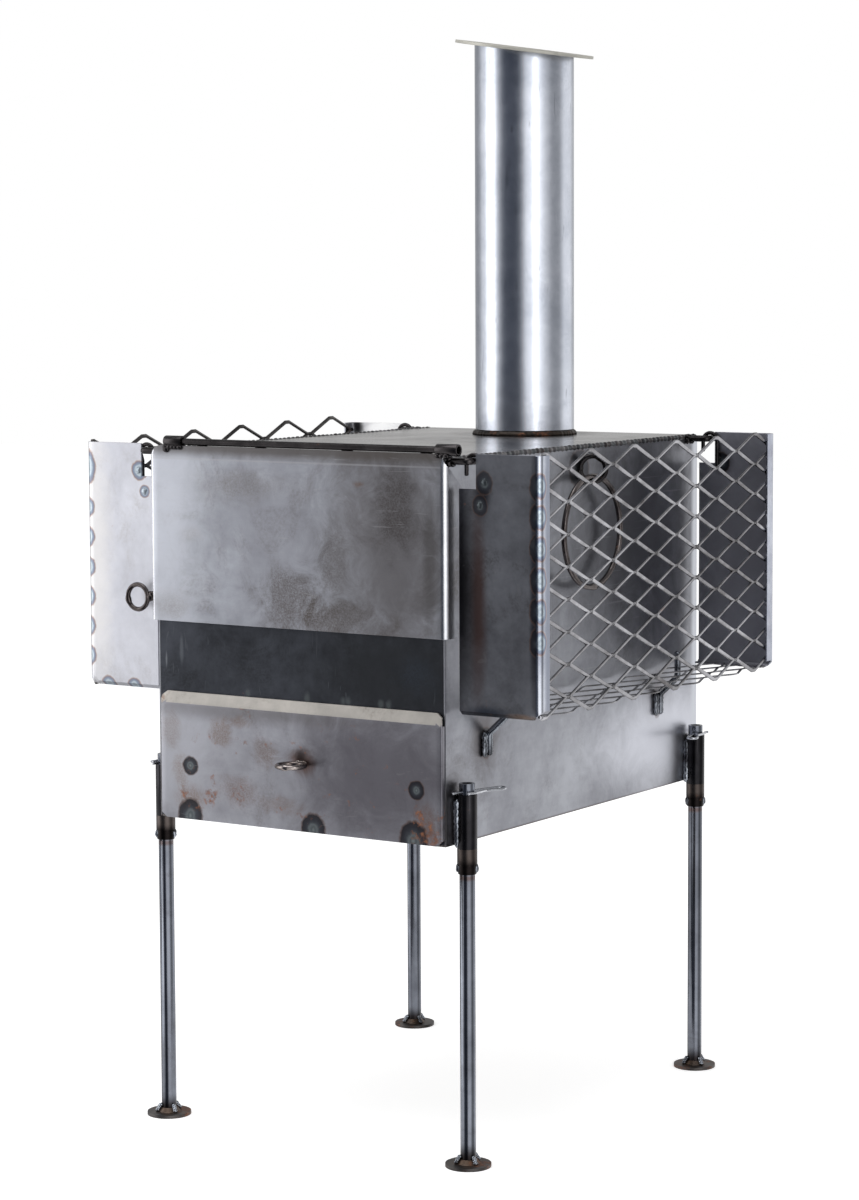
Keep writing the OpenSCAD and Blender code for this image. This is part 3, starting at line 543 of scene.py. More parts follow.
seam_x, seam_z, seam_front, seam_back = 159.75, 347.15, 1.8, 468.2
bead_r, bead_pitch = 0.0028, 0.0074
weld_rings = [burn((s * wall_x, 5, 347), 0.0085, 0.55, along=(0, 1, 0), pitch=0.021, more=22)
              for s in both_sides]
weld_steel = steel("weld_steel", (150, 148, 150), (36, 34, 35), smudging=0.6, rough=(0.24, 0.46),
                   rolling=(300, 300, 300), metal=0.92, bump=0.3, rust=0.16, rust_size=70.0,
                   rings=weld_rings)
beads = together([weld_bead(at(s * seam_x, seam_front, seam_z), at(s * seam_x, seam_back, seam_z),
                            bead_r, bead_pitch, 7 * s) for s in both_sides])
seams = build("top_corner_beads", *beads, weld_steel, "firebox", "weld_steel")
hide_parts("seam_welds")


# The flue: a 1 mm bright steel pipe, 100 mm across, that drops over a short welded stub and rests
# on its weld. The weld is a wide brown bead of coins. The pipe's top is cut to the roof's slope
# under a flat flashing plate.
pipe_steel = steel("pipe_steel", (212, 216, 226), (182, 187, 198), smudge=(150, 154, 164),
                   smudging=0.3, rolling=(30, 30, 2.5), rough=(0.2, 0.32), metal=1.0, bump=0.04,
                   scuff=((160, 160, 30), 0.35, (120, 122, 128)))
finish_node("flue_pipe", pipe_steel)
flashing_steel = steel("flashing_steel", (204, 202, 193), (180, 178, 170), smudging=0.3,
                       rolling=(20, 160, 20), rough=(0.4, 0.55), metal=0.35, rust=0.05)
finish_node("flashing_plate", flashing_steel, 0.0004)
weld_brown = steel("weld_brown", (62, 54, 48), (24, 21, 20), smudge=(24, 22, 22), smudging=0.9,
                   rough=(0.3, 0.56), rolling=(200, 200, 200), metal=0.8, bump=0.5, rust=0.28,
                   rust_size=60.0, damp=[((40, 355, 350), (0.04, 0.04, 0.02), 0.14)])
stub_out, stub_in, stub_top, weld_reach = 48.9, 47.4, 40.0, 53.2
turn_steps, coin_round, coin_pitch = 288, 52, 5.2
profile = [(stub_in, 0.0), (weld_reach, 0.2), (weld_reach - 0.4, 2.2), (weld_reach - 1.6, 3.8),
           (weld_reach - 3.1, 4.8), (stub_out + 0.4, 5.0), (stub_out, 5.4),
           (stub_out, stub_top - 0.4), (stub_out - 0.4, stub_top), (stub_in + 0.3, stub_top),
           (stub_in, stub_top - 0.4)]
verts, faces = [], []
for i in range(turn_steps):
    a = 2 * math.pi * i / turn_steps
    coin = math.sin(math.pi * ((a * coin_round / coin_pitch) % 1))
    wobble = 0.9 * noise.noise(Vector((math.cos(a) * 9, math.sin(a) * 9, 2)))
    for r, z in profile:
        on_bead = 0.1 < z < 4.9 and r > stub_out + 0.5
        r += 0.7 * coin + wobble - 0.8 if on_bead else 0.0
        verts.append(at(r * math.cos(a), pipe_y + r * math.sin(a), top_z + z))
rows = len(profile)
for i in range(turn_steps):
    n = (i + 1) % turn_steps
    for j in range(rows):
        m = (j + 1) % rows
        faces.append((i * rows + j, n * rows + j, n * rows + m, i * rows + m))
stub = build("flue_stub_and_weld", verts, faces, weld_brown, "firebox", "weld_steel")
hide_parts("flue_collar")


# The door: one 2 mm sheet folded back down both sides, with its top edge leaned back under the
# hinge. It hangs on two short tubes over a 6.4 mm rod. The folded corners are bright with a painted
# highlight, a lighter and glossier copy of the steel, and hands have left brown smudges low down
# and at the right. Painted light lies on the door's left, and painted shade over its right half,
# beside its right bend and along its top under the hinge.
def folded_sheet(section, low, high, lean, thick, rows=44, cut_away=lambda i, j: False):
    """A folded sheet: section gives outer (x, y) points and inward normals across it, low and
    high give its cut edges there, lean moves a point back at a height, and cut_away names the
    cells of the sheet that a notch takes out."""
    places, verts, faces = {}, [], []

    def corner(i, j, inner):
        """The number of one vertex, which is made when it is first asked for."""
        if (i, j, inner) not in places:
            x, y, nx, ny = section[i]
            z = low[i] + (high[i] - low[i]) * j / rows
            d = 0.22 * noise.noise(Vector((x / 70, y / 70 + 3, z / 60))) + inner * thick
            places[i, j, inner] = len(verts)
            verts.append(at(x + nx * d, y + lean(z, y) + ny * d, z))
        return places[i, j, inner]

    cells = {(i, j) for i in range(len(section) - 1) for j in range(rows) if not cut_away(i, j)}
    for i, j in sorted(cells):
        ring = [(i, j), (i + 1, j), (i + 1, j + 1), (i, j + 1)]
        faces.append(tuple(corner(*c, 0) for c in ring))
        faces.append(tuple(corner(*c, 1) for c in ring[::-1]))
        for k, beyond in enumerate(((i, j - 1), (i + 1, j), (i, j + 1), (i - 1, j))):
            if beyond not in cells:
                a, b = ring[k], ring[(k + 1) % 4]
                faces.append((corner(*a, 0), corner(*a, 1), corner(*b, 1), corner(*b, 0)))
    return verts, faces


def tidy_edges(piece):
    """Breaks the cut edges of a sheet and keeps its bends smooth."""
    file_edges(piece, "filed_edges", 0.0003, 50)
    piece.data.set_sharp_from_angle(angle=math.radians(40))


def bend_points(cx, cy, r, a0, a1, steps=8):
    """Points round a bend, with normals that point to its inside."""
    out = []
    for i in range(steps + 1):
        a = math.radians(a0 + (a1 - a0) * i / steps)
        out.append((cx + r * math.cos(a), cy + r * math.sin(a), -math.cos(a), -math.sin(a)))
    return out


def pan_section(half, front, back, r, fold_steps, face_steps, bend_steps):
    """The section of a sheet whose two sides are folded to the back, from left to right."""
    deep = back - front - r
    left = [(-half, back - deep * t / fold_steps, 1, 0) for t in range(fold_steps)]
    face = [(-half + r + (half - r) * t / face_steps, front, 0, 1)
            for t in range(1, 2 * face_steps)]
    right = [(half, front + r + deep * t / fold_steps, -1, 0) for t in range(1, fold_steps + 1)]
    return (left + bend_points(r - half, front + r, r, 180, 270, bend_steps) + face
            + bend_points(half - r, front + r, r, 270, 360, bend_steps) + right)


def flat_lip(x_low, x_high, steps, corners):
    """A flat strip across the stove, from the four (y, z) corners of its section."""
    verts = [at(x_low + (x_high - x_low) * i / steps, y, z)
             for i in range(steps + 1) for y, z in corners]
    return verts, bar_faces(steps, 4)


sheet_t, bend_r = 2.0, 6.0
door_half, door_y, door_back = 166.0, -6.0, 22.0
door_low, door_crease, door_top = 187.6, 343.0, 352.5
section = pan_section(door_half, door_y, door_back, bend_r, 10, 32, 8)
corner_in, corner_top, ear_top, ear_drop = 158.9, 341.4, 340.0, 18.0
low, high = [], []
for x, y, *_ in section:
    depth = max(0.0, (y - door_y - bend_r) / (door_back - door_y - bend_r))
    corner_part = min(1.0, max(0.0, (abs(x) - corner_in) / (door_half - corner_in)))
    in_flange = abs(x) > door_half - 0.001
    low.append(door_low + (max(0.0, y - 14.0) if in_flange else 0.0))
    high.append(ear_top - ear_drop * depth if in_flange
                else door_top - (door_top - corner_top) * corner_part)


def door_lean(z, y):
    """The lip's lean to the back, rolled over a soft crease, for points on the face alone."""
    soft, lean_back = 1.5, 3.0
    over = max(0.0, z - door_crease + soft) / (door_top - door_crease + soft)
    return lean_back * over ** 1.25 if y < door_y + bend_r else 0.0


door_patches = [
    # Painted shade over the right half of the door
    ((112, -6, 270), (0.12, 0.05, 0.2), 0.3, (94, 91, 93), 0.85),
    ((-20, -6, 260), (0.08, 0.05, 0.16), 0.4, (130, 130, 138), 0.5),
    ((-8, -6, 212), (0.052, 0.03, 0.04), 0.75, (84, 77, 73), 0.75),
    ((55, -6, 196), (0.075, 0.03, 0.026), 0.75, (84, 77, 73), 0.7),
    ((112, -6, 296), (0.038, 0.03, 0.055), 0.6, (66, 61, 60), 0.75),
    ((44, -6, 248), (0.022, 0.03, 0.05), 0.6, (88, 83, 81), 0.6),
    # Painted shade: a dark band beside the right bend
    ((149, -6, 262), (0.012, 0.03, 0.1), 0.3, (74, 71, 71), 0.6),
    ((-143, -6, 202), (0.034, 0.03, 0.02), 0.6, (104, 94, 86), 0.7),
    ((-60, -6, 318), (0.1, 0.03, 0.02), 0.6, (112, 106, 102), 0.5),
    ((-120, -6, 270), (0.02, 0.03, 0.012), 0.7, (120, 110, 102), 0.5),
    # Painted light on the left of the door
    ((-150, -6, 285), (0.07, 0.03, 0.16), 0.3, (200, 203, 212), 0.7),
    # Painted shade along the top under the hinge, and a thin painted highlight along the crease
    ((0, -6, 351), (0.6, 0.03, 0.013), 0.1, (78, 73, 70), 0.85),
    ((0, -6, 340.5), (0.4, 0.03, 0.0014), 0.03, (170, 170, 174), 0.4),
    ((72, -6, 323), (0.009, 0.03, 0.004), 0.7, (112, 92, 82), 0.7)]
door_steel = steel("door_steel", (178, 181, 190), (144, 146, 154), smudge=(100, 93, 88),
                   smudging=0.55, rolling=(10, 60, 120), rough=(0.3, 0.44), metal=0.9, rust=0.02,
                   patches=door_patches, scuff=((30, 40, 420), 0.25, (168, 168, 172)))
sheet = folded_sheet(section, low, high, door_lean, sheet_t, rows=60)
door = build("door_sheet", *sheet, door_steel, "door", "door_steel")
# Painted highlight: the door's bends take this lighter, glossier copy of its steel
bend_highlight_steel = steel("bend_highlight_steel", (232, 233, 238), (196, 197, 203), smudging=0.15, rough=(0.2, 0.34),
                   rolling=(60, 60, 8), metal=1.0, bump=0.05)
door.data.materials.append(bend_highlight_steel)
for side in door.data.polygons:
    past = abs(side.center.x) * 1000 - (door_half - bend_r * 0.8)
    side.material_index = int(past > 0 and side.center.y < at(0, door_y + bend_r * 0.8, 0).y)
tidy_edges(door)
stop = flat_lip(-150, 150, 60, ((-4.2, 187.7), (-0.35, 187.7), (-0.35, 189.5), (-4.2, 189.5)))
stop = build("door_stop_lip", *stop, door_steel, "door", "door_steel", smooth=False)
tidy_edges(stop)
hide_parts("door_panel")


# The hinge: two knuckles of thick tube on the door, and the rod welded along the top plate's
# front edge with four short beads. All of it is black-brown from the welding.
def weld_lump(centre, size, seed):
    """A short puddle of weld metal, rounded and uneven."""
    verts, faces, turns, rows = [], [], 16, 10
    for j in range(rows + 1):
        fall = math.pi * j / rows
        for k in range(turns):
            a = 2 * math.pi * k / turns
            out = math.sin(fall)
            way = Vector((out * math.cos(a), out * math.sin(a), math.cos(fall)))
            swell = 1 + 0.22 * noise.noise(way * 1.7 + Vector((seed, seed, 0)))
            swell += 0.07 * math.sin(way.dot(Vector((1, 1, 1))) * 9 + seed)
            verts.append(centre + Vector([w * s / 1000 * swell for w, s in zip(way, size)]))
    for j in range(rows):
        for k in range(turns):
            n = (k + 1) % turns
            faces.append((j * turns + k, (j + 1) * turns + k, (j + 1) * turns + n, j * turns + n))
    return verts, faces


rod_steel = steel("rod_steel", (70, 67, 68), (26, 25, 26), smudge=(22, 20, 21), smudging=0.6,
                  rolling=(60, 400, 400), rough=(0.16, 0.34), metal=0.95, bump=0.25, rust=0.12,
                  rust_size=60.0)
lump_steel = steel("lump_steel", (184, 190, 200), (46, 46, 50), smudge=(34, 33, 36), smudging=0.6,
                   rolling=(400, 400, 400), rough=(0.08, 0.3), metal=1.0, bump=0.3, rust=0.06,
                   rust_size=80.0)
rod_r, rod_left, rod_long, rod_steps, hinge_y, hinge_z = 0.0032, -145, 315, 40, -0.5, 356.0
rod = round_bar([at(rod_left + rod_long * i / rod_steps, hinge_y, hinge_z)
                 for i in range(rod_steps + 1)], rod_r, 18)
tacks = [weld_lump(at(x + dx, 1.3, 351.4), (3.4, 2.9, 3.0), x + dx)
         for x in (-107.9, -41.0, 56.0, 141.0) for dx in (-2.6, 0, 2.6)]
hinge = build("hinge_rod_and_tacks", *together([rod] + tacks), rod_steel, "firebox", "rod_steel")
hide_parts("hinge_rod")
finish_node("door_knuckles", rod_steel, 0.0006)
holds = []
for left, wide in ((-149.0, 20.0), (154.0, 22.5)):
    for i in range(5):
        x = left + wide * (i + 0.5) / 5
        if abs(x) < door_half:
            holds.append(weld_lump(at(x, -4.6, 351.0), (2.9, 1.5, 2.0), x))
holds.append(weld_lump(at(-146, -5.2, 348.6), (3.4, 1.5, 2.6), 5))
build("knuckle_welds", *together(holds), rod_steel, "door", "door_steel")


# The door's ring: 4.5 mm wire bent round and closed with a weld, fixed to the left fold by a
# second one.
def welded_ring(centre, r, wire, across, other, join, wide=4.0, sides=14, steps=72):
    """A ring of wire in the plane of two directions. Its ends are welded at a lump so far along
    it and so wide. Sizes are in mm."""
    path = [centre + r / 1000 * (math.cos(2 * math.pi * i / steps) * Vector(across)
                                 + math.sin(2 * math.pi * i / steps) * Vector(other))
            for i in range(steps)]
    whole = 2 * math.pi * r

    def lumps(s):
        off = abs((s * 1000 - join + whole / 2) % whole - whole / 2)
        lump = 0.28 * max(0.0, 1 - (off / wide) ** 2)
        return wire / 2000 * (1 + lump + 0.03 * noise.noise(Vector((s * 300, r, 0))))
    return round_bar(path, wire / 2000, sides, True, lumps)


ring_steel = steel("ring_steel", (128, 121, 120), (38, 32, 31), smudge=(28, 24, 24), smudging=0.6,
                   rolling=(300, 300, 300), rough=(0.1, 0.3), metal=1.0, bump=0.3, rust=0.16,
                   rust_size=50.0)
hoop = welded_ring(at(-182.3, -3.75, 208), 11.75, 4.5, (1, 0, 0), (0, 0, 1), join=40)
door_hoop = together([hoop, weld_lump(at(-168.4, -3.7, 208), (4.6, 2.3, 3.6), 3),
                      weld_lump(at(-167.0, -2.9, 211.5), (3.6, 2.0, 2.6), 8)])
door_hoop = build("door_pull_ring", *door_hoop, ring_steel, "door", "ring_steel")
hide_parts("door_ring")


# The ash drawer: a folded front with its lip leaned back under the dark plate, and a welded tray.
# The tray's tacks show through the face as heat spots, and damp has started rust at the left. The
# lip takes a lighter, warmer copy of the steel as painted light from above, and the face has
# painted light at its left and painted shade over its right.
drawer_spots = [
    burn((-121, -5.4, 52), 0.0098, 0.95), burn((133, -5.4, 50), 0.0095, 0.95),
    burn((-121.6, -5.4, 4), 0.0158, 0.95, (1, 1, 0.85)),
    burn((19.7, -5.4, 4), 0.0148, 0.95, (1, 1, 0.9)),
    burn((129.6, -5.4, 4), 0.0168, 0.95, (1, 1, 0.85))]
drawer_patches = [
    # Painted light on the left of the face, then painted shade over its right
    ((-140, -5, 60), (0.07, 0.05, 0.1), 0.3, (184, 185, 193), 0.6),
    ((98, -5, 60), (0.16, 0.05, 0.13), 0.25, (88, 85, 92), 0.85),
    ((-60, -5, 108), (0.2, 0.05, 0.016), 0.3, (100, 96, 96), 0.5),
    ((6, -5, 65), (0.021, 0.03, 0.017), 0.3, (86, 58, 44), 0.8),
    ((6, -5, 70), (0.009, 0.03, 0.01), 0.2, (34, 30, 31), 0.75),
    ((-84, -5, 85), (0.017, 0.03, 0.015), 0.9, (124, 108, 100), 0.75),
    ((-62, -5, 97), (0.016, 0.03, 0.008), 0.9, (122, 105, 97), 0.7),
    ((-34, -5, 70), (0.02, 0.03, 0.02), 0.9, (116, 100, 93), 0.7),
    ((-134, -5, 46), (0.012, 0.03, 0.02), 0.9, (134, 118, 108), 0.6),
    ((-118, -5, 22), (0.024, 0.03, 0.016), 0.9, (130, 110, 98), 0.65),
    ((-66, -5, 32), (0.03, 0.03, 0.02), 0.9, (116, 98, 92), 0.6),
    ((-142, -5, 84), (0.012, 0.03, 0.022), 0.9, (130, 116, 108), 0.5),
    ((-14, -5, 24), (0.03, 0.03, 0.014), 0.9, (128, 110, 102), 0.45),
    ((144, -5, 26), (0.02, 0.03, 0.022), 0.9, (112, 82, 66), 0.55)]
drawer_damp = [
    ((-100, -5, 34), (0.05, 0.03, 0.04), 0.22), ((-110, -5, 14), (0.03, 0.03, 0.02), 0.3),
    ((140, -5, 16), (0.04, 0.03, 0.035), 0.34), ((-40, -5, 60), (0.07, 0.03, 0.05), 0.14),
    ((20, -5, 8), (0.03, 0.03, 0.02), 0.22), ((-80, -5, 90), (0.05, 0.03, 0.03), 0.16)]
drawer_steel = steel("drawer_steel", (170, 171, 179), (140, 140, 147), smudge=(108, 101, 100),
                     smudging=0.45, rolling=(10, 60, 100), rough=(0.32, 0.48), metal=0.9, rust=0.16,
                     rust_size=60.0, shift=1.7, rings=drawer_spots, patches=drawer_patches,
                     damp=drawer_damp, scuff=((60, 60, 300), 0.15, (160, 160, 162)))
# Painted light: the leaned-back lip takes this lighter, warmer copy of the drawer steel, for the
# light it catches from above
lit_ledge_steel = steel("lit_ledge_steel", (198, 193, 187), (166, 162, 157), smudge=(112, 102, 92),
                    smudging=0.5, rolling=(30, 60, 60), rough=(0.4, 0.55), metal=0.6, rust=0.1,
                    damp=[((-150, -4, 116), (0.02, 0.03, 0.02), 0.3)])
drawer_half, drawer_off, drawer_y, drawer_back, fold_r = 158, 2.3, -5.4, -0.3, 1.3
drawer_low, drawer_crease, drawer_high, drawer_corner, drawer_ear = 1, 111.3, 121, 114.3, 109.3
section = pan_section(drawer_half, drawer_y, drawer_back, fold_r, 3, 30, 6)
low, high = [], []
for x, y, *_ in section:
    cut = max(0.0, abs(x) - drawer_half + 5)
    slope = max(0.0, abs(x) - drawer_half + 3) / 3
    low.append(drawer_low + cut)
    high.append(drawer_high - (drawer_high - drawer_corner) * slope if y < drawer_y + fold_r
                else drawer_ear)


def drawer_lean(z, y):
    """The lip's slope to the back above its fold."""
    soft, lean_back = 0.8, 3.0
    over = max(0.0, z - drawer_crease + soft) / (drawer_high - drawer_crease + soft)
    on_face = max(0.0, min(1.0, drawer_y + fold_r - y))
    return lean_back * over * on_face


section = [(x + drawer_off, y, nx, ny) for x, y, nx, ny in section]
face = folded_sheet(section, low, high, drawer_lean, sheet_t, rows=56)
fold = flat_lip(drawer_off - 152.6, drawer_off + 152.6, 40,
                ((-4.9, 1.02), (-0.35, 1.02), (-0.35, 2.25), (-4.9, 2.25)))
drawer = build("drawer_face", *together([face, fold]), drawer_steel, "drawer", "drawer_steel")
drawer.data.materials.append(lit_ledge_steel)
for side in drawer.data.polygons:
    side.material_index = int(side.center.z > at(0, 0, drawer_crease - 0.3).z)
tidy_edges(drawer)
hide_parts("drawer_front")
finish_node("drawer_tray", inner_steel, 0.0005)
pull_x, pull_z = 6, 64
pull = welded_ring(at(pull_x, -20.7, pull_z), 12.75, 4.5, (1, 0, 0), (0, 1, 0), join=62, sides=16)
pull = together([pull, weld_lump(at(pull_x, -6.4, pull_z), (5.6, 2.6, 3.6), 2),
                 weld_lump(at(1.6, -6.8, 63.4), (3.2, 2.4, 3.2), 6),
                 weld_lump(at(10.6, -6.8, 64.6), (3.2, 2.4, 3.2), 9)])
pull_steel = steel("pull_steel", (204, 195, 192), (74, 64, 60), smudge=(46, 38, 36), smudging=0.5,
                   rolling=(300, 300, 300), rough=(0.1, 0.3), metal=1.0, bump=0.3, rust=0.14,
                   rust_size=50.0)
pull = build("drawer_pull_ring", *pull, pull_steel, "drawer", "ring_steel")
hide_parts("drawer_ring")


# The rack pegs and the lower pins: 6.4 mm rod, bent cold and welded to the walls. The racks hook
# over the pegs, and the pins stand up through the racks' floors.
def rounded_path(points, r, steps=6):
    """A path with its corners rounded to a radius, in mm."""
    points = [Vector(p) for p in points]
    out = [points[0]]
    for a, b, c in zip(points, points[1:], points[2:]):
        one, two = (a - b).normalized(), (c - b).normalized()
        half = one.angle(two) / 2
        back = min(r / math.tan(half), (a - b).length * 0.49, (c - b).length * 0.49)
        for i in range(steps + 1):
            t = i / steps
            out.append((b + one * back).lerp(b, t).lerp(b.lerp(b + two * back, t), t))
    return out + [points[-1]]


def mm_path(points, r, piece_mm=4.8):
    """A rounded path given in mm from the stove's own marks, in short pieces."""
    soft = rounded_path(points, r)
    out = []
    for a, b in zip(soft, soft[1:]):
        steps = max(1, int((b - a).length / piece_mm))
        out += [a.lerp(b, i / steps) for i in range(steps)]
    return [at(*p) for p in out + [soft[-1]]]


peg_x, peg_z = 183.2, 346
peg_lumps = [((1.5, 0, 2.6), (3.6, 4.6, 2.4)), ((1.5, -2.6, -1.5), (3.2, 2.8, 3.2)),
             ((1.4, 3.4, -1.2), (3.2, 2.6, 3.4)), ((4.4, 0.4, -3.0), (3.0, 2.4, 1.8))]
parts = []
for s in both_sides:
    for y in (6, 449):
        bent = [(s * 159.5, y, peg_z), (s * peg_x, y, peg_z), (s * peg_x, y + 23.8, peg_z)]
        parts.append(round_bar(mm_path(bent, 5), rod_r, 16))
        parts += [weld_lump(at(s * (wall_x + dx), y + dy, peg_z - 0.6 + dz), size, s * y + dx)
                  for (dx, dy, dz), size in peg_lumps]
pegs = build("rack_hanger_pegs", *together(parts), rod_steel, "firebox", "rod_steel")
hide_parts("rack_pegs")
parts = []
for s in both_sides:
    for y in (68, 388):
        bent = [(s * 164.4, y, 75), (s * 164.4, y, 95), (s * 184, y, 113), (s * 184, y, 138.5)]
        parts.append(round_bar(mm_path(bent, 7), rod_r, 16))
        parts += [weld_lump(at(s * 163.0, y + d, 79 + 6.2 * k), (2.8, 3.8, 5.2), k + d + s * y)
                  for k in range(3) for d in (-5.4, 3.4)]
pins = build("rack_steady_pins", *together(parts), lump_steel, "firebox", "rod_steel")
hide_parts("rack_supports")


# The carry rings: 110 mm rings of 5 mm wire that hang from small welded eyes halfway along each
# side wall. Both have gone rusty brown.
eye_r, eye_wire, loop_r, loop_wire, carry_y, eye_z = 12.2, 5.4, 52.5, 5.6, 235, 327
eye_lumps = [(0, 0, (2.6, 3.4, 5.4)), (1.6, 4.2, (2.4, 3, 3)), (-1.6, -4.4, (2.4, 3, 3))]
parts = []
for s in both_sides:
    parts.append(welded_ring(at(s * 173.2, 240.0, eye_z), eye_r, eye_wire, (s * 0.9, 0.436, 0),
                             (0, 0, 1), join=12))
    parts += [weld_lump(at(s * 162.6, carry_y + dy, eye_z + dz), size, s + dz)
              for dy, dz, size in eye_lumps]
eyes = build("carry_ring_eyes", *together(parts), rod_steel, "firebox", "rod_steel")
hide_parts("carry_eyes")
for s, word in ((1, "right"), (-1, "left")):
    loop = welded_ring(at(s * 175.55, carry_y, 267.55), loop_r, loop_wire, (0, 1, 0), (0, 0, 1),
                       join=250, wide=6, sides=16, steps=120)
    loop = build("carry_loop_" + word, *loop, ring_steel, "carry_ring_" + word, "ring_steel")
    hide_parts("carry_ring_" + word)


# The side racks: two folded end panels with a sheet of expanded mesh across the side and another
# as the floor, plug-welded to the panels. The right rack's sheet is darker stock than the left's.
# The right rack's outer folds take a lighter, glossier copy of its steel as a painted highlight,
# its front panel has painted shade along its inner edge and beside the fold, and its back panel
# has painted light on its inner face.
spots_right = [
    burn((253.5, 11, 188), 0.0118, 0.8, (1, 1, 0.76), pitch=0.0276, more=5),
    burn((196.0, 10, 327), 0.0098, 0.7, (1, 1, 0.85)),
    burn((191.5, 10, 307), 0.0088, 0.7, (1, 1, 0.85)),
    burn((254, 456, 174), 0.009, 0.5, pitch=0.029, more=5),
    burn((196, 458, 322), 0.009, 0.95, (1, 0.4, 0.8))]
spots_fold = [burn((252.6, 12.6, 188), 0.0084, 0.85, (1, 1, 0.68), pitch=0.0276, more=5)]
spots_left = [
    burn((-253, 10, 147), 0.0095, 0.95, (1, 1, 0.85), pitch=0.0286, more=5),
    burn((-253, 10, 328), 0.0115, 0.95, (1, 1, 0.6)),
    burn((-189.5, 10, 327), 0.0105, 0.95), burn((-183.6, 10, 307), 0.0068, 0.9),
    burn((-230, 10, 120), 0.0095, 0.9, along=(1, 0, 0), pitch=0.031, more=1)]
dark_patches = [((189, 10, 225), (0.013, 0.02, 0.13), 0.2, (60, 44, 42), 0.9),
                # Painted shade along the panel's inner edge, next to the door
                ((172, 10, 230), (0.02, 0.02, 0.14), 0.15, (32, 31, 34), 0.95),
                ((194, 10, 317), (0.0135, 0.012, 0.031), 0.1, (28, 28, 34), 0.95),
                # Painted shade: a dark band beside the fold's painted highlight
                ((247, 10, 235), (0.006, 0.008, 0.18), 0.3, (36, 36, 44), 0.85),
                ((200, 10, 123), (0.03, 0.02, 0.009), 0.3, (34, 40, 52), 0.85),
                ((235, 10, 121), (0.024, 0.02, 0.005), 0.3, (130, 104, 84), 0.7),
                # Painted light on the inner face of the back panel
                ((220, 460, 230), (0.1, 0.02, 0.26), 0.2, (176, 176, 186), 0.8),
                ((196, 458, 322), (0.014, 0.02, 0.016), 0.4, (40, 38, 44), 0.8)]
rack_dark = steel("rack_dark_steel", (108, 110, 117), (76, 77, 83), smudge=(52, 49, 50),
                  smudging=0.5, rolling=(40, 40, 60), rough=(0.28, 0.44), metal=0.9, rust=0.04,
                  rings=spots_right, patches=dark_patches,
                  scuff=((90, 90, 90), 0.12, (120, 120, 122)))
# Painted highlight: the right racks' outer folds take this lighter, glossier copy of the steel, and
# its patch paints the flange behind the bend back down to a mid grey
fold_highlight_steel = steel("fold_highlight_steel", (206, 210, 220), (150, 154, 168), smudge=(120, 100, 92),
                   smudging=0.25, rolling=(60, 60, 8), rough=(0.12, 0.28), metal=1.0, bump=0.06,
                   rings=spots_fold, pale=1.0,
                   patches=[((254, 23, 235), (0.02, 0.009, 0.6), 0.06, (128, 133, 146), 0.9)])
rack_bright = steel("rack_bright_steel", (214, 215, 223), (188, 189, 197), smudge=(160, 154, 150),
                    smudging=0.3, rolling=(40, 40, 12), rough=(0.3, 0.45), metal=0.85, rust=0.05,
                    rings=spots_left, shift=2.2, pale=1.0,
                    patches=[((-245, 10, 240), (0.03, 0.02, 0.2), 0.3, (232, 229, 226), 0.6),
                             ((-212, 460, 335), (0.06, 0.03, 0.08), 0.1, (255, 255, 255), 1.0),
                             ((-246, 455, 350), (0.0105, 0.03, 0.02), 0.05, (44, 42, 44), 0.97)])
rack_in, rack_out, rack_low, rack_top = 169.5, 254.0, 119.0, 352.6
notch_x, notch_z, rack_face, rack_deep, rack_cut, lip_r = 187.2, 321.5, 10.0, 16.0, 8.0, 4.5
stove_deep, panel_rows, panel_t = 470, 60, 1.9


def rack_panel(s, back):
    """One end panel with its outer fold, and its bottom lip."""
    def from_end(y):
        """A place along the stove, from this panel's own end of it."""
        return stove_deep - y if back else y

    def lay(x, y, nx, ny):
        return s * x, from_end(y), s * nx, -ny if back else ny
    notch_xs = [rack_in, 174, 179, 184, notch_x]
    xs = notch_xs + [notch_x + (rack_out - bend_r - notch_x) * i / 20 for i in range(1, 20)]
    face = [lay(x, rack_face, 0, 1) for x in xs]
    fold = [lay(*p) for p in bend_points(rack_out - bend_r, rack_face + bend_r, bend_r, -90, 0)]
    side = [lay(rack_out, rack_face + bend_r + (rack_deep - bend_r) * i / 6, -1, 0)
            for i in range(1, 7)]
    tops = [rack_top] * len(face + fold + side)
    notch_row = round((notch_z - rack_low) / (rack_top - rack_low) * panel_rows)
    lows = [rack_low] * len(face)
    lows += [rack_low + max(0.0, s * p[0] - (rack_out - rack_cut)) * 0.9 for p in fold]
    lows += [rack_low + rack_cut] * len(side)

    def roll_under(z, y):
        """The soft bend along the bottom, for points on the face alone."""
        rise = max(0.0, lip_r - (z - rack_low))
        under = lip_r - math.sqrt(max(0.0, lip_r ** 2 - rise ** 2))
        return under * max(0.0, 1 - abs(y - from_end(rack_face)) / 3) * (-1 if back else 1)

    def notched(i, j):
        return i < len(notch_xs) - 1 and j >= notch_row
    shell = folded_sheet(face + fold + side, lows, tops, roll_under, panel_t, panel_rows, notched)
    lip_front, lip_back = from_end(rack_face + 4), from_end(rack_face + 9)
    lip_low, lip_high = rack_low + 0.02, rack_low + panel_t + 0.02
    lip = flat_lip(s * rack_in, s * (rack_out - rack_cut - 2.2), 24, (
        (lip_front, lip_low), (lip_back, lip_low), (lip_back, lip_high), (lip_front, lip_high)))
    return shell, lip


def plug(x, z, s, back, r=3.1):
    """The round face of a plug weld, a little proud of the sheet."""
    y = stove_deep - rack_face if back else rack_face
    return weld_lump(at(s * x, y, z), (r, 0.9, r), x + z)


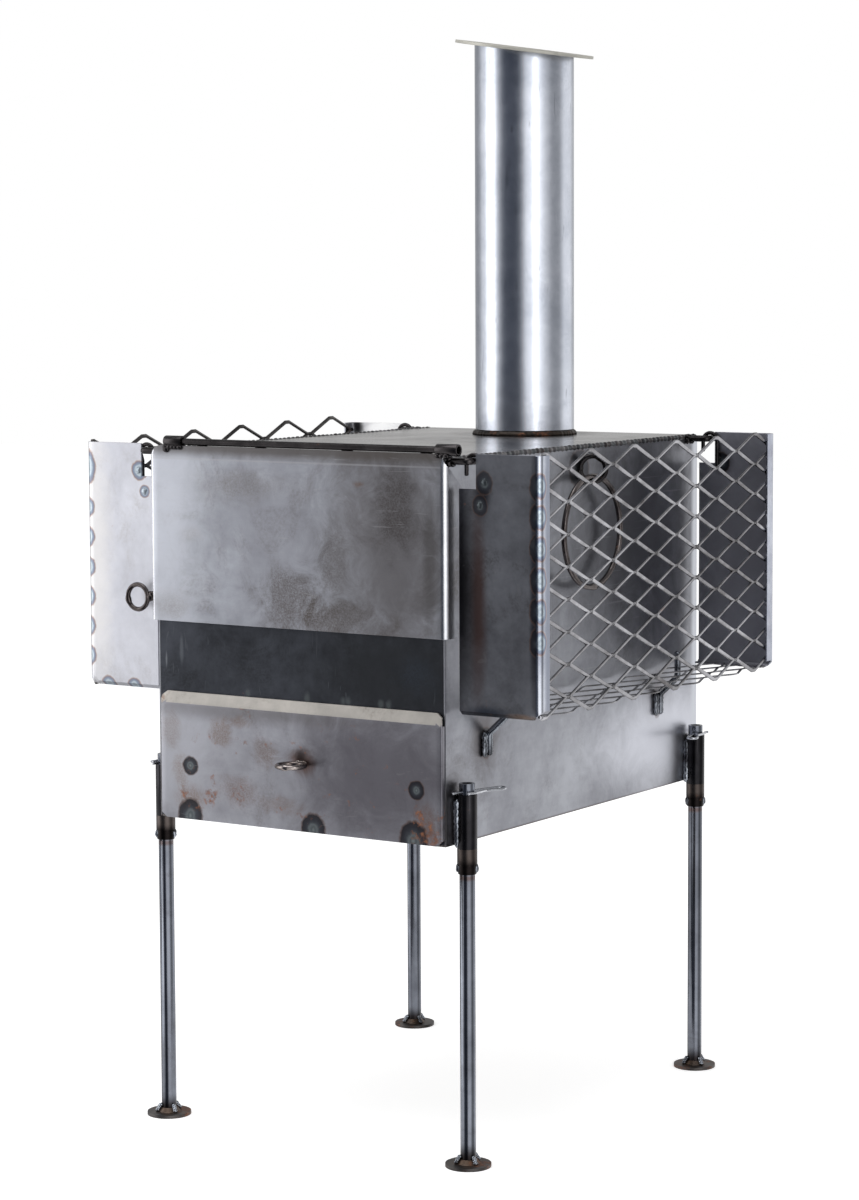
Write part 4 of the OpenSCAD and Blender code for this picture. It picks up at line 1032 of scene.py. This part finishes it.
for s, word, finish, slot, places, leg_x in (
        (1, "right", rack_dark, "rack_dark_steel", ((196, 328), (191.5, 307.5)), 191.2),
        (-1, "left", rack_bright, "rack_bright_steel", ((190.6, 327), (184.0, 307)), 188.8)):
    rack = "rack_" + word
    for back, end in ((False, "front"), (True, "back")):
        shell, lip = rack_panel(s, back)
        name = f"{rack}_{end}"
        panel = build(name + "_sheet", *shell, finish, rack, slot)
        # Painted highlight: the right racks' outer folds take the lighter, glossier fold steel
        if s > 0:
            panel.data.materials.append(fold_highlight_steel)
            for side in panel.data.polygons:
                side.material_index = int(side.center.x > (rack_out - bend_r * 0.85) / 1000)
        tidy_edges(panel)
        tidy_edges(build(name + "_lip", *lip, finish, rack, slot, smooth=False))
        dots = together([plug(x, z, s, back) for x, z in places])
        build(name + "_plug_welds", *dots, finish, rack, slot)
        bpy.context.view_layer.update()
        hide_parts(name)

    # Hooks bent from 4 mm wire, welded inside each end panel and laid over the pegs
    hook_r, hook_tip, arch_z, knee_z, hook_end = 8, 332.7, 343.5, 336, 314.5
    parts = []
    for y, inside in ((14, -2.0), (456, 2.2)):
        turns = [math.pi * i / 16 for i in range(17)]
        arch = [(s * (peg_x - hook_r * math.cos(a)), y, arch_z + hook_r * math.sin(a))
                for a in turns]
        path = [(s * (peg_x - hook_r), y, hook_tip)] + arch
        path += [(s * leg_x, y, knee_z), (s * leg_x, y, hook_end)]
        parts.append(round_bar([at(*p) for p in path], 0.002, 14))
        for k in range(4):
            place = at(s * (leg_x + 0.6), y + inside, hook_end + 1.5 + 5.6 * k)
            parts.append(weld_lump(place, (2.3, 1.4, 1.9), k + s))
    hooks = build(rack + "_wire_hooks", *together(parts), rod_steel, rack, "rod_steel")
    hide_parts(rack + "_hooks")


# The mesh: slit and stretched steel sheet. Each strand is a slanted strip that zigzags from bond
# to bond along the stove, and the strips of two rows meet at flattened knuckles.
def strand(first, level, rise, up_first, place, wide, thick, slant):
    """One zigzag strip with rounded edges, laid along the stove by place(y, across, out)."""
    half, knuckle = bond_pitch / 2, bond_pitch * 0.042
    marks = []
    start = first - math.ceil((first - mesh_front) / half + 1) * half
    for i in range(int((mesh_back - mesh_front) / half) + 4):
        y = start + i * half
        on_even = round((y - first) / half) % 2 == 0
        z = level + (rise if on_even == up_first else 0.0)
        marks += [(y - knuckle, z), (y + knuckle, z)]
    fine = []
    for (ya, za), (yb, zb) in zip(marks, marks[1:]):
        steps = 2 if abs(zb - za) < 0.01 else 7
        fine += [(ya + (yb - ya) * k / steps, za + (zb - za) * k / steps) for k in range(steps)]
    fine = [p for p in fine if mesh_front <= p[0] <= mesh_back]
    r = min(wide, thick) * 0.46
    outline = []
    for cx, cy, a0 in ((wide / 2 - r, thick / 2 - r, 0), (r - wide / 2, thick / 2 - r, 90),
                       (r - wide / 2, r - thick / 2, 180), (wide / 2 - r, r - thick / 2, 270)):
        for a in (math.radians(a0 + 45 * k) for k in range(3)):
            outline.append((cx + r * math.cos(a), cy + r * math.sin(a)))
    tilt, lean = math.cos(slant), math.sin(slant)
    verts = [place(y, z + w * tilt - t * lean, w * lean + t * tilt)
             for y, z in fine for w, t in outline]
    return verts, bar_faces(len(fine) - 1, len(outline))


mesh_steel = steel("mesh_steel", (188, 188, 193), (104, 102, 104), smudge=(62, 55, 53),
                   smudging=0.45, rolling=(40, 40, 40), rough=(0.12, 0.28), metal=1.0, bump=0.2,
                   rust=0.14, rust_size=40.0)
# Painted shade: the left rack's mesh takes this darker copy of the mesh steel
mesh_shaded = steel("mesh_shaded_steel", (96, 93, 92), (50, 47, 46), smudge=(40, 36, 35), smudging=0.5,
                  rolling=(40, 40, 40), rough=(0.2, 0.4), metal=0.9, bump=0.2, rust=0.18,
                  rust_size=40.0)
mesh_front, mesh_back, mesh_low, mesh_high, bond_pitch = 12.4, 457.6, 120.3, 353.1, 80.0
side_strips, floor_strips = 16, 6
side_rise = (mesh_high - mesh_low) / side_strips
floor_rise = (rack_out - 4 - rack_in - 2.4) / floor_strips
# On each side: the wire's steel, a peak's place along the stove, and the net's rise to the back
for s, word, wire_steel, phase, lift, slope in ((1, "right", mesh_steel, 262.5, 0.0, 0.0),
                                                (-1, "left", mesh_shaded, 254.5, 3.4, 0.0155)):
    def upright(y, z, out):
        """A place on the side sheet."""
        return at(s * (250.1 + out), y, z + lift + slope * (y - 254))

    def lying(y, x, out):
        """A place on the floor sheet."""
        return at(s * x, y, rack_low + 1.2 + out)

    rack = "rack_" + word
    strips = [strand(phase, mesh_low + j * side_rise, side_rise, j % 2 == 1, upright, 4.0, 2.6, 0.5)
              for j in range(side_strips)]
    net = build(rack + "_mesh_side", *together(strips), wire_steel, rack, "mesh_steel")
    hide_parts(rack + "_side_mesh")
    strips = [strand(228, rack_in + 1.2 + j * floor_rise, floor_rise, j % 2 == 1, lying,
                     3.0, 1.6, 0.25) for j in range(floor_strips)]
    net = build(rack + "_mesh_floor", *together(strips), wire_steel, rack, "mesh_steel")
    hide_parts(rack + "_floor_mesh")


# The legs: four steel tubes that push up into sockets welded at the corners, each with a welded
# collar that stops it, a disc foot, and a zinc spring clip through the tube above the socket.
leg_out = 170.8
# Each leg's corner: its side, its place along the stove, the way its clip points and its turn
corners = {"fr": (1, 20, 1, 16), "fl": (-1, 20, 1, -4), "br": (1, 450, -1, 16),
           "bl": (-1, 450, -1, 16)}
leg_places = [(s * leg_out, y) for s, y, *_ in corners.values()]


def leg_burn(z, spread, ragged, colour, strength):
    """The same burn on each of the four legs."""
    return [((x, y, z), spread, ragged, colour, strength) for x, y in leg_places]


leg_burns = leg_burn(-288, (0.05, 0.05, 0.017), 0.12, (34, 28, 27), 0.96)
leg_burns += leg_burn(-29, (0.05, 0.05, 0.004), 0.2, (92, 66, 54), 0.6)
leg_steel = steel("leg_steel", (133, 137, 147), (97, 100, 108), smudge=(58, 52, 50), smudging=0.4,
                  rolling=(120, 120, 6), rough=(0.14, 0.28), metal=1.0, bump=0.05, rust=0.06,
                  rust_size=30.0, patches=leg_burns)
collar_burns = leg_burn(-18.5, (0.06, 0.06, 0.0085), 0.08, (26, 22, 22), 0.97)
collar_burns += leg_burn(-24.5, (0.06, 0.06, 0.0085), 0.08, (26, 22, 22), 0.97)
collar_steel = steel("collar_steel", (98, 90, 87), (56, 49, 46), smudge=(44, 38, 37),
                     smudging=0.5, rough=(0.24, 0.42), metal=0.95, bump=0.15, rust=0.16,
                     rust_size=60.0, patches=collar_burns)
foot_steel = steel("foot_steel", (104, 100, 99), (52, 49, 48), smudge=(50, 42, 38), smudging=0.6,
                   rough=(0.32, 0.54), metal=0.85, bump=0.3, rust=0.44, rust_size=34.0,
                   patches=leg_burn(-290, (0.022, 0.022, 0.012), 0.5, (104, 80, 60), 0.62))
socket_steel = steel("socket_steel", (55, 54, 57), (28, 27, 29), smudge=(28, 27, 28), smudging=0.5,
                     rolling=(120, 120, 8), rough=(0.18, 0.34), metal=0.97, bump=0.08, rust=0.08,
                     rust_size=50.0)
clip_zinc = steel("clip_zinc", (226, 228, 234), (176, 178, 184), smudge=(120, 120, 124),
                  smudging=0.3, rolling=(100, 100, 100), rough=(0.14, 0.28), metal=1.0, bump=0.05)
finish_node("leg_sockets", socket_steel, 0.0004, 0.0008)
# Angles round a leg, where the photo shows the welds under the collar and on the foot
collar_weld_angles, foot_weld_angles = (-138, 22, 80, 160), (-128, -22, 70, 150)
collar_weld_r, collar_weld_z, foot_weld_r, foot_weld_z = 7.9, -20.6, 11.6, -289.6
clip_r, clip_z, bow_end, bow_r = 0.00125, 48.6, 36, 4.75
half_turn = [math.pi * i / 8 for i in range(1, 9)]
clip_wire = [(0, -17.7), (0, bow_end)]
clip_wire += [(bow_r - bow_r * math.cos(a), bow_end + bow_r * math.sin(a)) for a in half_turn]
clip_wire += [(9.2, 32), (6.6, 22), (6.2, 17), (8.6, 8), (9.4, 2), (9.4, -2), (8.6, -5.5),
              (11.3, -8.2)]
socket_welds = []
for key, (s, leg_y, out, clip_turn) in corners.items():
    finish_node("leg_tube_" + key, leg_steel, swell=0.00055)
    finish_node("leg_collar_" + key, collar_steel, swell=0.0008)
    finish_node("leg_foot_" + key, foot_steel, 0.0006)
    socket_welds += [weld_lump(at(s * 163.9, leg_y + d, 4 + 6.6 * k), (3.3, 3.0, 5.4),
                               k + d + s * leg_y) for k in range(6) for d in (-6.8, 6.8)]
    blobs = []
    for a in (math.radians(a) for a in collar_weld_angles):
        place = at(s * leg_out + collar_weld_r * math.cos(a), leg_y + collar_weld_r * math.sin(a),
                   collar_weld_z)
        blobs.append(weld_lump(place, (2.7, 2.7, 4.3), a + s * leg_y))
    for a in foot_weld_angles:
        way = Vector((math.cos(math.radians(a)), math.sin(math.radians(a)), 0))
        for k in range(4):
            place = Vector((s * leg_out, leg_y, foot_weld_z + 1.5 * k))
            place += way * (foot_weld_r - 1.1 * k)
            blobs.append(weld_lump(at(*place), (2.1, 2.1, 2.0), a + k))
    build("leg_welds_" + key, *together(blobs), lump_steel, "leg_" + key, "collar_steel")
    yaw = math.radians(clip_turn)
    path = [(s * (leg_out + a * math.cos(yaw) + b * math.sin(yaw)),
             leg_y + out * (b * math.cos(yaw) - a * math.sin(yaw)), clip_z) for a, b in clip_wire]
    clip = round_bar(mm_path(path, 3, 2.0), clip_r, 12)
    clip = build("spring_clip_" + key, *clip, clip_zinc, "clip_" + key, "clip_zinc")
    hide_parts("clip_" + key)
build("socket_side_welds", *together(socket_welds), lump_steel, "firebox", "weld_steel")
